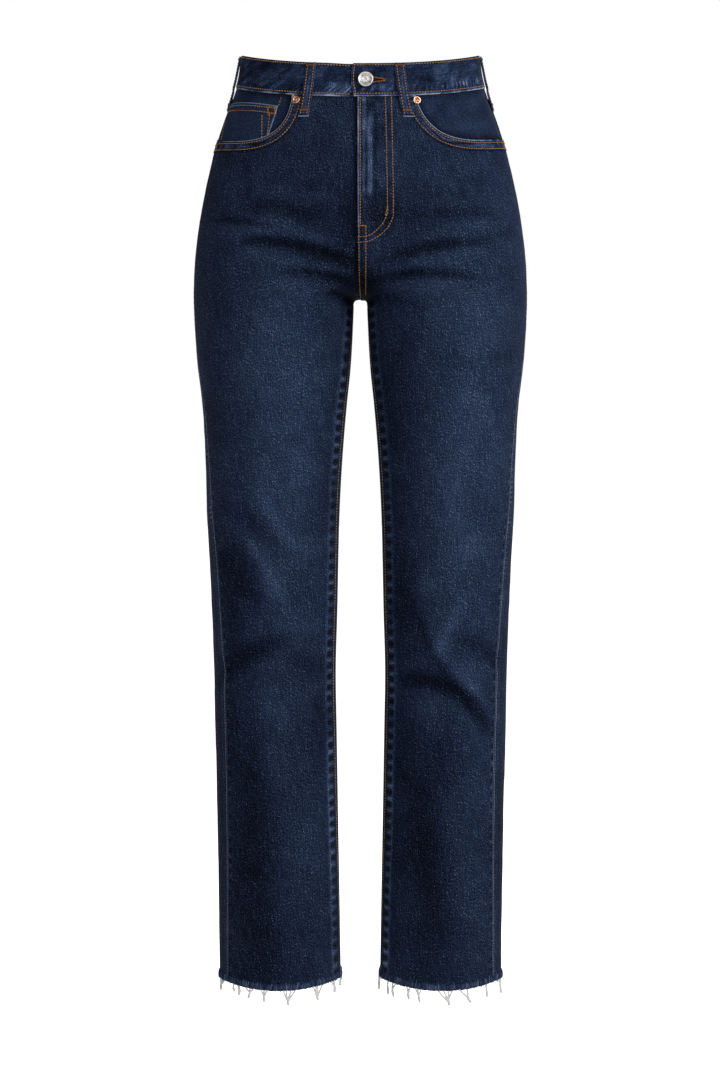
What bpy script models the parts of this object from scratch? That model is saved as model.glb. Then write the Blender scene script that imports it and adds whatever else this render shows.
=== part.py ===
"""Raw hem jeans, high in the waist and straight in the leg, filled out as if worn.

Metres, +Z up, the front towards -Y, the wearer's left side at +X. The origin is the middle of the waist,
half way up the waistband, where a wearer's waist holds the garment. Heights in the tables are above the hems.
"""

import math
from collections import namedtuple

import bmesh
import bpy
import numpy as np
from mathutils import Matrix, Vector

# Driving dimensions
BAND_TOP = 0.9965
BAND_HEIGHT = 0.035
WAIST_HEIGHT = BAND_TOP - BAND_HEIGHT / 2
CROTCH = 0.736
HEM = 0.0
FRONT_DIP = 0.0225
BACK_RISE = 0.0045
DIP_STARTS = 0.80
DIP_POWER = 1.4
CLOTH = 0.0012
SEAM_GAP = 0.0003
HALF_GAP = SEAM_GAP / 2

# Shape of the trunk and legs
TRUNK_POWER = 2.3
LEG_POWER = 2.15
FRONT_RISE_CURVE = 0.085
BACK_RISE_CURVE = 0.125
TRUNK_ENDS = 0.87
LEGS_BEGIN = 0.70
CLEFT_REACH = 0.06
CLEFT_ROUND = 0.014
SADDLE_DEPTH = 0.007
FLY_SHIFT = 0.0032

Section = namedtuple("Section", "height outer inner front back")
SECTIONS = (
    Section(height=1.000, outer=0.1274, inner=0.0000, front=0.0885, back=0.0905),
    Section(height=0.965, outer=0.1328, inner=0.0000, front=0.0945, back=0.0980),
    Section(height=0.951, outer=0.1376, inner=0.0000, front=0.0970, back=0.1015),
    Section(height=0.940, outer=0.1420, inner=0.0000, front=0.0990, back=0.1045),
    Section(height=0.900, outer=0.1556, inner=0.0000, front=0.1045, back=0.1155),
    Section(height=0.870, outer=0.1632, inner=0.0000, front=0.1075, back=0.1225),
    Section(height=0.840, outer=0.1698, inner=0.0020, front=0.1095, back=0.1275),
    Section(height=0.800, outer=0.1762, inner=0.0045, front=0.1105, back=0.1285),
    Section(height=0.760, outer=0.1795, inner=0.0066, front=0.1100, back=0.1235),
    Section(height=0.730, outer=0.1796, inner=0.0074, front=0.1080, back=0.1165),
    Section(height=0.700, outer=0.1786, inner=0.0083, front=0.1050, back=0.1105),
    Section(height=0.660, outer=0.1759, inner=0.0107, front=0.1000, back=0.1035),
    Section(height=0.620, outer=0.1712, inner=0.0148, front=0.0950, back=0.0980),
    Section(height=0.560, outer=0.1680, inner=0.0197, front=0.0875, back=0.0905),
    Section(height=0.500, outer=0.1664, inner=0.0228, front=0.0810, back=0.0835),
    Section(height=0.450, outer=0.1638, inner=0.0240, front=0.0765, back=0.0785),
    Section(height=0.400, outer=0.1617, inner=0.0250, front=0.0735, back=0.0755),
    Section(height=0.330, outer=0.1594, inner=0.0268, front=0.0705, back=0.0735),
    Section(height=0.270, outer=0.1582, inner=0.0259, front=0.0688, back=0.0728),
    Section(height=0.200, outer=0.1566, inner=0.0248, front=0.0670, back=0.0722),
    Section(height=0.100, outer=0.1550, inner=0.0230, front=0.0648, back=0.0718),
    Section(height=0.000, outer=0.1538, inner=0.0214, front=0.0632, back=0.0714),
)

# How far round to the front each long seam lies, in degrees from the side or the inside of the leg
SeamTurn = namedtuple("SeamTurn", "height outseam inseam")
SEAM_TURNS = (
    SeamTurn(height=1.00, outseam=0.0, inseam=0.0),
    SeamTurn(height=0.86, outseam=0.0, inseam=0.0),
    SeamTurn(height=0.80, outseam=0.0, inseam=0.0),
    SeamTurn(height=0.738, outseam=6.0, inseam=0.0),
    SeamTurn(height=0.69, outseam=12.0, inseam=9.0),
    SeamTurn(height=0.62, outseam=19.0, inseam=14.0),
    SeamTurn(height=0.45, outseam=32.0, inseam=16.0),
    SeamTurn(height=0.30, outseam=38.0, inseam=16.0),
    SeamTurn(height=0.14, outseam=36.5, inseam=13.0),
    SeamTurn(height=0.00, outseam=33.0, inseam=7.0),
)

# Creases of the worn cloth, seen square on: each is a trough along a soft curve from start past bend to end,
# with a lip below it
Fold = namedtuple("Fold", "start bend end depth width")
FRONT_FOLDS = (
    Fold(start=(-0.124, 0.7905), bend=(-0.066, 0.7860), end=(-0.010, 0.7635), depth=0.0046, width=0.0072),
    Fold(start=(-0.082, 0.7575), bend=(-0.040, 0.7565), end=(-0.006, 0.7445), depth=0.0036, width=0.0062),
    Fold(start=(-0.050, 0.7372), bend=(-0.028, 0.7380), end=(-0.008, 0.7370), depth=0.0024, width=0.0048),
    Fold(start=(-0.158, 0.8185), bend=(-0.124, 0.8090), end=(-0.090, 0.7990), depth=0.0026, width=0.0085),
    Fold(start=(-0.124, 0.8295), bend=(-0.095, 0.8235), end=(-0.064, 0.8185), depth=0.0018, width=0.0090),
    Fold(start=(0.034, 0.7750), bend=(0.076, 0.7855), end=(0.120, 0.7920), depth=0.0036, width=0.0080),
    Fold(start=(0.010, 0.7475), bend=(0.050, 0.7565), end=(0.098, 0.7555), depth=0.0032, width=0.0068),
    Fold(start=(0.008, 0.7360), bend=(0.026, 0.7368), end=(0.050, 0.7330), depth=0.0024, width=0.0050),
    Fold(start=(0.090, 0.8200), bend=(0.115, 0.8230), end=(0.142, 0.8260), depth=0.0018, width=0.0090),
    Fold(start=(-0.150, 0.3270), bend=(-0.118, 0.3430), end=(-0.084, 0.3680), depth=0.0034, width=0.0125),
    Fold(start=(-0.074, 0.3200), bend=(-0.058, 0.3100), end=(-0.040, 0.2880), depth=0.0018, width=0.0120),
    Fold(start=(0.074, 0.3580), bend=(0.104, 0.3320), end=(0.136, 0.2800), depth=0.0034, width=0.0115),
    Fold(start=(0.030, 0.3300), bend=(0.058, 0.3360), end=(0.088, 0.3290), depth=0.0022, width=0.0105),
)
BACK_FOLDS = (
    Fold(start=(0.010, 0.7460), bend=(0.060, 0.7420), end=(0.135, 0.7660), depth=0.0046, width=0.0085),
    Fold(start=(0.016, 0.7180), bend=(0.060, 0.7120), end=(0.120, 0.7240), depth=0.0036, width=0.0085),
    Fold(start=(0.024, 0.6860), bend=(0.060, 0.6800), end=(0.100, 0.6840), depth=0.0022, width=0.0090),
    Fold(start=(0.036, 0.4240), bend=(0.090, 0.4060), end=(0.146, 0.4160), depth=0.0036, width=0.0110),
    Fold(start=(0.036, 0.3720), bend=(0.085, 0.3850), end=(0.146, 0.3700), depth=0.0034, width=0.0100),
    Fold(start=(0.040, 0.3400), bend=(0.090, 0.3260), end=(0.140, 0.3360), depth=0.0026, width=0.0110),
)
FOLD_STEPS = 12
FOLD_LIP = 0.55

# Panels
COLUMNS = 12
PANEL_HEIGHTS = (
    BAND_TOP - BAND_HEIGHT, 0.948, 0.929, 0.910, 0.893, 0.875, 0.857, 0.842, 0.831, 0.820, 0.810, 0.801, 0.793,
    0.785, 0.777, 0.769, 0.761, 0.754, 0.748, 0.7425, 0.7390, 0.7368, CROTCH, 0.7352, 0.7332, 0.7300,
    0.726, 0.719, 0.708, 0.694, 0.676, 0.655, 0.625, 0.590, 0.550, 0.510, 0.470, 0.440, 0.420, 0.403,
    0.386, 0.370, 0.355, 0.340, 0.325, 0.308, 0.288, 0.262, 0.225, 0.180, 0.130, 0.075, 0.030, HEM,
)
FLY_EDGE_LIFT = 0.0009
FLY_EDGE_WIDTH = 0.007

# Waistband
BAND_THICKNESS = 0.0024
BAND_PROUD = 0.0009
BAND_OVERLAP = 0.0080
BAND_UNDERLAP = 0.030
BAND_JOG = 0.030
BAND_ROWS = 3

# Yoke
YOKE_AT_SIDE = 0.021
YOKE_AT_CENTRE = 0.062
YOKE_ROWS = 4
BACK_SETTLES = 0.857

# Front pockets
FACING_CLOTH = 0.0010
COIN_CLOTH = 0.0010
FACING_BEHIND = {1: CLOTH + SEAM_GAP, -1: CLOTH + COIN_CLOTH + 2 * SEAM_GAP}
Scoop = namedtuple("Scoop", "top bend turn end")
SCOOPS = {
    1: Scoop(top=(0.0562, 0.9450), bend=(0.0640, 0.9080), turn=(0.0900, 0.8830), end=(0.1560, 0.9040)),
    -1: Scoop(top=(0.0710, 0.9450), bend=(0.0740, 0.9020), turn=(0.1010, 0.8860), end=(0.1560, 0.9020)),
}
FACING_INNER = 0.046
FACING_FOOT = 0.885
COIN_CORNER = (0.0885, 0.9303)
COIN_BAND = 0.0083
COIN_BODY = (0.0935, 0.0965)
COIN_FOOT = 0.8915
COIN_RISES = 0.215

# Back pockets
PocketShape = namedtuple("PocketShape", "centre top top_width foot_width side_depth point_depth")
BACK_POCKET = PocketShape(
    centre=0.079, top=0.9000, top_width=0.138, foot_width=0.116, side_depth=0.122, point_depth=0.146
)
POCKET_CLOTH = 0.0011

# Belt loops
LOOP_WIDTH = 0.0108
LOOP_CLOTH = 0.0016
LOOP_DROP = 0.0242
LOOP_SLACK = 0.0016
Loop = namedtuple("Loop", "name half top foot")
LOOPS = (
    Loop(name="belt_loop_front_right", half=-1, top=0.251, foot=0.264),
    Loop(name="belt_loop_front_left", half=1, top=0.2145, foot=0.235),
    Loop(name="belt_loop_side_right", half=-1, top=1.01, foot=1.01),
    Loop(name="belt_loop_side_left", half=1, top=1.01, foot=1.01),
    Loop(name="belt_loop_back", half=1, top=2.0, foot=2.0),
)

# Metal
BUTTON_ACROSS = 0.0052
BUTTON_HEIGHT = 0.9786
BUTTON_RADIUS = 0.0081
SHANK_RADIUS = 0.0021
BUTTONHOLE_RADIUS = 0.0026
BUTTONHOLE_LENGTH = 0.0205
RIVET_RADIUS = 0.0044
RIVET_ACROSS = {-1: 0.0670, 1: 0.0585}
RIVET_BELOW_BAND = 0.0058

# Frayed hems
FRAY_TOP = HEM - SEAM_GAP
FRAY_FOOT = -0.0056
FRAY_OUT = 0.0020
FRAY_IN = 0.0016
FRAY_STEPS = 66
LOCK_EVERY = 3
LOCK_LENGTH = 0.0135
LOCK_ROOT = 0.30
LOCK_TIP = 0.0005


def ease(value):
    """0 below 0, 1 above 1, and a smooth S between them."""
    value = np.clip(value, 0.0, 1.0)
    return value * value * (3 - 2 * value)


def column(table, name, height):
    """A table's column at any heights, on smooth curves through its rows."""
    rows = sorted(table, key=lambda row: row.height)
    at = np.array([row.height for row in rows])
    value = np.array([getattr(row, name) for row in rows])
    slope = np.gradient(value, at)
    height = np.clip(height, at[0], at[-1])
    k = np.clip(np.searchsorted(at, height) - 1, 0, len(at) - 2)
    span = at[k + 1] - at[k]
    t = (height - at[k]) / span
    return (
        value[k] * (2 * t**3 - 3 * t**2 + 1)
        + slope[k] * span * (t**3 - 2 * t**2 + t)
        + value[k + 1] * (3 * t**2 - 2 * t**3)
        + slope[k + 1] * span * (t**3 - t**2)
    )


def rounded(share, power):
    """The height of a superellipse quadrant of that power, at a share of the way to its side."""
    return (1 - np.clip(np.abs(share), 0, 1) ** power) ** (1 / power)


def crease(folds, x, height):
    """How far the folds move the cloth outwards at points seen square on."""
    move = np.zeros_like(x)
    for fold in folds:
        start, bend, end = (np.array(p) for p in (fold.start, fold.bend, fold.end))
        t = np.linspace(0, 1, FOLD_STEPS)[:, None]
        line = (1 - t) ** 2 * start + 2 * t * (1 - t) * bend + t**2 * end
        apart = np.hypot(x[:, None] - line[:, 0], height[:, None] - line[:, 1])
        nearest = apart.argmin(axis=1)
        away = apart[np.arange(len(x)), nearest]
        below = line[nearest, 1] - height
        share = nearest / (FOLD_STEPS - 1)
        fade = np.sin(math.pi * np.clip(0.12 + 0.76 * share, 0, 1))
        trough = np.exp(-((away / fold.width) ** 2))
        lip = np.exp(-(((away - 1.9 * fold.width) / (1.2 * fold.width)) ** 2)) * ease(below / fold.width)
        move += fold.depth * fade * (FOLD_LIP * lip - trough)
    return move


def bare_ring(half, around, height):
    """Points of the outer cloth before creasing. around runs from 0 at the centre front or the inseam, past 1
    at the side, to 2 at the centre back or the inseam. half is 1 for the wearer's left and -1 for the right."""
    around = np.where(height < CROTCH, np.mod(around, 2.0), np.clip(around, 0.0, 2.0))
    front = around < 1
    share = np.where(front, around, 2 - around)
    outer = column(SECTIONS, "outer", height)
    inner = column(SECTIONS, "inner", height)
    depth = np.where(front, column(SECTIONS, "front", height), column(SECTIONS, "back", height))

    legs = ease((TRUNK_ENDS - height) / (TRUNK_ENDS - LEGS_BEGIN))
    middle, reach = (outer + inner) / 2, (outer - inner) / 2
    x = (1 - legs) * (inner + (outer - inner) * np.sin(math.pi / 2 * share))
    x = x + legs * (middle - reach * np.cos(math.pi * share))

    rise = np.where(front, FRONT_RISE_CURVE, BACK_RISE_CURVE)
    above = np.clip((height - CROTCH) / rise, 0, 1)
    closing = 1 - np.sqrt(np.clip(1 - (1 - above) ** 2, 0, 1))
    soft = inner + np.sqrt((x - inner) ** 2 + (CLEFT_ROUND * (1 - closing)) ** 2)
    leg = depth * rounded((soft - middle) / reach, LEG_POWER)

    # The legs meet in a small arch at the crotch, and the front seam lies to the wearer's right of the middle.
    opened = np.sqrt(1 - (1 - np.clip((CROTCH - height) / SADDLE_DEPTH, 0, 1)) ** 2)
    x = x - inner * (1 - opened) * (1 - share) ** 3
    x = x - np.where(front, half * FLY_SHIFT * (1 - np.sqrt(closing)) * (1 - share) ** 2, 0.0)
    trunk = depth * rounded(x / outer, TRUNK_POWER)
    weight = legs + (closing - legs) * (1 - ease(np.abs(x) / CLEFT_REACH))
    y = (1 - weight) * trunk + weight * leg

    dips = ease((height - DIP_STARTS) / (BAND_TOP - BAND_HEIGHT - DIP_STARTS))
    forward = rounded(x / outer, TRUNK_POWER) ** DIP_POWER
    z = height - dips * forward * np.where(front, FRONT_DIP, -BACK_RISE)
    return np.stack([half * x, np.where(front, -y, y), z - WAIST_HEIGHT], axis=-1)


def normals(half, around, height):
    """Outward normals of the bare ring, from its points a little way to each side."""
    step_round, step_up = 0.02, 0.0008
    along = bare_ring(half, around + step_round, height) - bare_ring(half, around - step_round, height)
    up = bare_ring(half, around, height + step_up) - bare_ring(half, around, height - step_up)
    normal = np.cross(along, up) * half
    return normal / np.linalg.norm(normal, axis=-1, keepdims=True)


def cloth(half, around, height, lift=0.0):
    """Points on the creased cloth, moved out by lift, and their normals."""
    around, height = np.broadcast_arrays(np.asarray(around, float), np.asarray(height, float))
    shape = around.shape
    around, height = around.ravel(), height.ravel()
    point = bare_ring(half, around, height)
    normal = normals(half, around, height)
    turned = np.mod(around, 2.0) < 1
    level = point[:, 2] + WAIST_HEIGHT
    move = np.where(
        turned,
        crease(FRONT_FOLDS, point[:, 0], level),
        crease(BACK_FOLDS, half * point[:, 0], level),
    )
    facing = np.clip(np.abs(normal[:, 1]) * 1.6, 0, 1)
    lift = np.broadcast_to(np.asarray(lift, float), shape).ravel()
    point = point + normal * (move * facing + lift)[:, None]
    return point.reshape(*shape, 3), normal.reshape(*shape, 3)


def around_at(half, x, height, back=False):
    """The place round the ring whose distance from the middle is x."""
    low, high = np.full_like(height, 1.0 if back else 0.0), np.full_like(height, 2.0 if back else 1.0)
    for _ in range(30):
        mid = (low + high) / 2
        inside = half * bare_ring(half, mid, height)[..., 0] < x
        if back:
            inside = ~inside
        low, high = np.where(inside, mid, low), np.where(inside, high, mid)
    return (low + high) / 2


def material(name, colour, roughness, metallic=0.0):
    made = bpy.data.materials.new(name)
    made.use_nodes = True
    shader = made.node_tree.nodes["Principled BSDF"]
    shader.inputs["Base Color"].default_value = (*colour, 1.0)
    shader.inputs["Roughness"].default_value = roughness
    shader.inputs["Metallic"].default_value = metallic
    made.diffuse_color = (*colour, 1.0)
    return made


def add_object(name, mesh, finish):
    mesh.materials.append(finish)
    made = bpy.data.objects.new(name, mesh)
    bpy.context.scene.collection.objects.link(made)
    return made


def wall(name, outer, normal, thickness, finish):
    """A sheet of cloth with that thickness behind a grid of outer points: rows by columns by 3."""
    rows, columns = outer.shape[:2]
    inner = outer - normal * thickness
    points = np.concatenate([outer.reshape(-1, 3), inner.reshape(-1, 3)])
    back = rows * columns
    faces = []
    last = back - columns
    for r in range(rows - 1):
        for c in range(columns - 1):
            a = r * columns + c
            b = a + columns
            faces.append((a, a + 1, b + 1, b))
            faces.append((back + a, back + b, back + b + 1, back + a + 1))
    for c in range(columns - 1):
        faces.append((c, back + c, back + c + 1, c + 1))
        faces.append((last + c, last + c + 1, back + last + c + 1, back + last + c))
    for r in range(rows - 1):
        a, b = r * columns, (r + 1) * columns
        faces.append((a, b, back + b, back + a))
        a, b = a + columns - 1, b + columns - 1
        faces.append((a, back + a, back + b, b))
    mesh = bpy.data.meshes.new(name)
    mesh.from_pydata([tuple(p) for p in points], [], faces)
    shape = bmesh.new()
    shape.from_mesh(mesh)
    if shape.calc_volume(signed=True) < 0:
        bmesh.ops.reverse_faces(shape, faces=shape.faces)
    shape.to_mesh(mesh)
    shape.free()
    mesh.shade_smooth()
    mesh.set_sharp_from_angle(angle=math.radians(40))
    return add_object(name, mesh, finish)


def seam_edges(heights, face):
    """Where a panel starts and ends round each height."""
    outseam = 1 - column(SEAM_TURNS, "outseam", heights) / 180
    inseam = np.where(heights >= CROTCH, 0.0, column(SEAM_TURNS, "inseam", heights) / 180)
    return (inseam, outseam) if face == "front" else (outseam, 2 + inseam)


def panel_points(half, start, end, level):
    """Outer points, normals and levels between two long edges, each half a seam gap inside its seam. At the
    front and back rise the wall's inner side is kept from crossing the seam."""
    share = np.linspace(0, 1, level.shape[1])
    around = start[:, None] + (end - start)[:, None] * share
    point, normal = cloth(half, around, level)
    for edge, beside in ((0, 1), (-1, -2)):
        inwards = point[:, beside] - point[:, edge]
        inwards /= np.linalg.norm(inwards, axis=-1, keepdims=True)
        point[:, edge] += inwards * HALF_GAP
        rise = (np.abs(point[:, edge, 0]) < 0.004) & (level[:, edge] >= CROTCH)
        away = half * normal[:, edge, 0]
        normal[:, edge, 0] = half * np.where(rise, np.minimum(away, 0), away)
        normal[:, edge] /= np.linalg.norm(normal[:, edge], axis=-1, keepdims=True)
    return point, normal, level


def front_points(half):
    """Outer points, normals and levels of a front panel."""
    heights = np.array(PANEL_HEIGHTS)
    heights[0] -= SEAM_GAP
    start, end = seam_edges(heights, "front")
    level = np.broadcast_to(heights[:, None], (len(heights), COLUMNS + 1))
    point, normal, level = panel_points(half, start, end, level)
    if half == 1:
        # The fly's folded edge stands a little higher than the panel that it covers.
        edge = np.exp(-((np.abs(point[..., 0] + FLY_SHIFT) / FLY_EDGE_WIDTH) ** 2))
        above = ease((level - CROTCH - 0.01) / 0.03)
        point = point + normal * (FLY_EDGE_LIFT * edge * above)[..., None]
    return point, normal, level


def front_panel(half, name, finish):
    point, normal, _ = front_points(half)
    return wall(name, point, normal, CLOTH, finish)


def scoop_curve(half, steps=10):
    """The edge of a front pocket seen square on, from the waistband down and round to the side."""
    t = np.linspace(0, 1, steps + 1)[:, None]
    a, b, c, d = (np.array(p) for p in SCOOPS[half])
    return (1 - t) ** 3 * a + 3 * t * (1 - t) ** 2 * b + 3 * t**2 * (1 - t) * c + t**3 * d


def prism(name, outline, near, far):
    """A cutter: an outline seen square on, run through from y near to y far."""
    shape = bmesh.new()
    loop = [shape.verts.new((x, near, z)) for x, z in outline]
    face = shape.faces.new(loop)
    run = bmesh.ops.extrude_face_region(shape, geom=[face])
    moved = [item for item in run["geom"] if isinstance(item, bmesh.types.BMVert)]
    bmesh.ops.translate(shape, verts=moved, vec=(0, far - near, 0))
    bmesh.ops.recalc_face_normals(shape, faces=shape.faces)
    mesh = bpy.data.meshes.new(name)
    shape.to_mesh(mesh)
    shape.free()
    made = bpy.data.objects.new(name, mesh)
    bpy.context.scene.collection.objects.link(made)
    made.hide_render = True
    made.display_type = "WIRE"
    return made


def cut(target, cutter):
    boolean = target.modifiers.new("cut_" + cutter.name, "BOOLEAN")
    boolean.operation = "DIFFERENCE"
    boolean.object = cutter


def scoop_cutter(half):
    curve = [(half * x, z - WAIST_HEIGHT) for x, z in scoop_curve(half)]
    above, aside = 0.02, 0.05
    start = (curve[0][0], curve[0][1] + above)
    end = (curve[-1][0] + half * aside, curve[-1][1])
    corner = (end[0], start[1])
    side = "left" if half == 1 else "right"
    return prism(f"scoop_cutter_{side}", [start, *curve, end, corner], -0.2, 0.02)


def patch(name, half, face, lift, thickness, outline, finish):
    """A piece that lies over or behind a panel: the panel's own points moved out by lift, kept inside an
    outline seen square on, whose x runs away from the middle."""
    low, high = min(z for _, z in outline), max(z for _, z in outline)
    panel = front_points if face == "front" else back_points
    point, normal, _ = panel(half)
    z = point[..., 2] + WAIST_HEIGHT
    rows = (z.max(axis=1) > low - 0.03) & (z.min(axis=1) < high + 0.03)
    point, normal = point[rows], normal[rows]
    made = wall(name, point + normal * lift, normal, thickness, finish)
    edge = [(half * x, z - WAIST_HEIGHT) for x, z in outline]
    near, far = (-0.2, 0.02) if face == "front" else (-0.02, 0.2)
    keep = made.modifiers.new("keep_inside_outline", "BOOLEAN")
    keep.operation = "INTERSECT"
    keep.object = prism(f"{name}_outline", edge, near, far)
    return made


def pocket_facing(half, name, finish):
    """The denim that shows inside a front pocket, behind the panel, and on the right behind the coin pocket."""
    outline = ((FACING_INNER, 1.0), (FACING_INNER, FACING_FOOT), (0.3, FACING_FOOT), (0.3, 1.0))
    return patch(name, half, "front", -FACING_BEHIND[half], FACING_CLOTH, outline, finish)


def coin_pocket(name, finish):
    """A small patch pocket on the right facing, its hemmed mouth wider than its body and its foot behind the
    panel's scooped edge."""
    x, z = COIN_CORNER
    outline = (
        (x, z), (x, z - COIN_BAND), (COIN_BODY[0], z - COIN_BAND), (COIN_BODY[1], COIN_FOOT),
        (0.3, COIN_FOOT), (0.3, z + (0.3 - x) * COIN_RISES),
    )
    return patch(name, -1, "front", -CLOTH - SEAM_GAP, COIN_CLOTH, outline, finish)


def yoke_drop(share):
    """How far below the waistband the yoke seam lies, from 0 at the side to 1 at the centre back."""
    return YOKE_AT_SIDE + (YOKE_AT_CENTRE - YOKE_AT_SIDE) * share


def back_points(half):
    """Outer points, normals and levels of a back panel, whose top edge follows the yoke seam."""
    heights = np.array(PANEL_HEIGHTS[:1] + PANEL_HEIGHTS[2:])
    share = np.linspace(0, 1, COLUMNS + 1)
    seam = BAND_TOP - BAND_HEIGHT - yoke_drop(share) - SEAM_GAP
    rise = (heights[:, None] - BACK_SETTLES) / (BAND_TOP - BAND_HEIGHT - BACK_SETTLES)
    level = np.where(rise > 0, BACK_SETTLES + rise * (seam - BACK_SETTLES), heights[:, None])
    start, end = seam_edges(heights, "back")
    return panel_points(half, start, end, level)


def back_panel(half, name, finish):
    point, normal, _ = back_points(half)
    return wall(name, point, normal, CLOTH, finish)


def yoke(half, name, finish):
    share = np.linspace(0, 1, COLUMNS + 1)
    top = BAND_TOP - BAND_HEIGHT - SEAM_GAP
    foot = BAND_TOP - BAND_HEIGHT - yoke_drop(share)
    level = top + (foot - top) * np.linspace(0, 1, YOKE_ROWS)[:, None]
    point, normal, _ = panel_points(half, np.full(YOKE_ROWS, 1.0), np.full(YOKE_ROWS, 2.0), level)
    return wall(name, point, normal, CLOTH, finish)


def back_pocket(half, name, finish):
    """A five-sided patch on the seat, moved out from the panel's own points."""
    centre, top = BACK_POCKET.centre, BACK_POCKET.top
    wide, narrow = BACK_POCKET.top_width / 2, BACK_POCKET.foot_width / 2
    outline = (
        (centre - wide, top), (centre + wide, top), (centre + narrow, top - BACK_POCKET.side_depth),
        (centre, top - BACK_POCKET.point_depth), (centre - narrow, top - BACK_POCKET.side_depth),
    )
    return patch(name, half, "back", SEAM_GAP + POCKET_CLOTH, POCKET_CLOTH, outline, finish)


def band_path():
    """Stations round the waistband as (half, around, how far under): the end that laps over the fly first."""
    level = np.array([BAND_TOP - BAND_HEIGHT / 2])
    shares = np.linspace(0, 2, 2 * COLUMNS + 1)
    stations = [(-1, float(around_at(-1, BAND_OVERLAP, level)[0]), 0.0)]
    stations += [(1, share, 0.0) for share in shares]
    jog = float(around_at(-1, BAND_OVERLAP + BAND_JOG, level)[0])
    clear = float(around_at(-1, BAND_OVERLAP + 0.002, level)[0])
    lapped = [share for share in shares[::-1] if share > jog + 0.03]
    stations += [(-1, share, 0.0) for share in lapped[1:]]
    stations += [(-1, jog + (clear - jog) * t, float(ease(t))) for t in (0.0, 0.25, 0.5, 0.75, 1.0)]
    stations += [(1, float(around_at(1, x, level)[0]), 1.0) for x in (0.004, BAND_UNDERLAP / 2, BAND_UNDERLAP)]
    return stations


def waistband(name, finish):
    heights = np.linspace(BAND_TOP, BAND_TOP - BAND_HEIGHT, BAND_ROWS)
    points, ways = [], []
    for half, around, under in band_path():
        lift = BAND_PROUD - under * (BAND_THICKNESS + SEAM_GAP)
        point, normal = cloth(half, np.full(BAND_ROWS, around), heights, lift=lift)
        points.append(point)
        ways.append(normal)
    outer = np.stack(points, axis=1)
    normal = np.stack(ways, axis=1)
    return wall(name, outer, normal, BAND_THICKNESS, finish)


def belt_loop(loop, finish):
    """A strap tacked at the top of the waistband and below it, standing off between the tacks for a belt."""
    share = np.linspace(0, 1, 11)
    top = BAND_TOP - 0.0008
    foot = BAND_TOP - BAND_HEIGHT - LOOP_DROP
    heights = top + (foot - top) * share
    around = loop.top + (loop.foot - loop.top) * share
    base, normal = cloth(loop.half, around, heights)
    tangent = np.cross(normal, (0.0, 0.0, 1.0))
    tangent /= np.linalg.norm(tangent, axis=-1, keepdims=True)
    on_band = BAND_PROUD * ease((heights - (BAND_TOP - BAND_HEIGHT) + 0.004) / 0.004)
    stand = LOOP_SLACK * np.sin(math.pi * np.clip((share - 0.06) / 0.84, 0, 1)) ** 0.8
    lift = SEAM_GAP + LOOP_CLOTH + on_band + stand
    centre = base + normal * lift[:, None]
    across = np.array([-0.5, 0.0, 0.5]) * LOOP_WIDTH
    outer = centre[:, None, :] + tangent[:, None, :] * across[None, :, None]
    ways = np.broadcast_to(normal[:, None, :], outer.shape)
    return wall(loop.name, outer, ways, LOOP_CLOTH, finish)


def turned(name, profile, centre, axis, sides, finish):
    """A round piece from (radius, height) points: from its axis at the back, out and round to it at the front."""
    shape = bmesh.new()
    rings = []
    for radius, height in profile:
        if radius == 0:
            rings.append([shape.verts.new((0, 0, height))])
            continue
        turn = [2 * math.pi * k / sides for k in range(sides)]
        rings.append([shape.verts.new((radius * math.cos(a), radius * math.sin(a), height)) for a in turn])
    for low, high in zip(rings, rings[1:]):
        for k in range(sides):
            j = (k + 1) % sides
            if len(low) == 1:
                shape.faces.new((low[0], high[j], high[k]))
            elif len(high) == 1:
                shape.faces.new((low[k], low[j], high[0]))
            else:
                shape.faces.new((low[k], low[j], high[j], high[k]))
    if shape.calc_volume(signed=True) < 0:
        bmesh.ops.reverse_faces(shape, faces=shape.faces)
    mesh = bpy.data.meshes.new(name)
    shape.to_mesh(mesh)
    shape.free()
    mesh.shade_smooth()
    mesh.set_sharp_from_angle(angle=math.radians(40))
    made = add_object(name, mesh, finish)
    made.matrix_world = Matrix.Translation(centre) @ Vector(axis).to_track_quat("Z", "Y").to_matrix().to_4x4()
    return made


def waist_place(half, across, height):
    """A point on the front of the cloth and its normal."""
    around = around_at(half, np.array([across]), np.array([height]))
    point, normal = cloth(half, around, np.array([height]))
    return point[0], normal[0]


def shank_button(finish):
    """A shank button: its face stands on the waistband's upper end, its shank runs through the buttonhole."""
    point, normal = waist_place(1, BUTTON_ACROSS, BUTTON_HEIGHT)
    base = point + normal * BAND_PROUD
    foot = -BAND_THICKNESS
    r = BUTTON_RADIUS
    profile = (
        (0, foot), (SHANK_RADIUS, foot), (SHANK_RADIUS, 0.0010), (0.92 * r, 0.0013), (r, 0.0020),
        (0.97 * r, 0.0028), (0.86 * r, 0.0032), (0.78 * r, 0.0027), (0.52 * r, 0.0027), (0.44 * r, 0.0031),
        (0.20 * r, 0.0029), (0.14 * r, 0.0036), (0, 0.0039),
    )
    return turned("shank_button", profile, Vector(base), normal, 24, finish)


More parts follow.
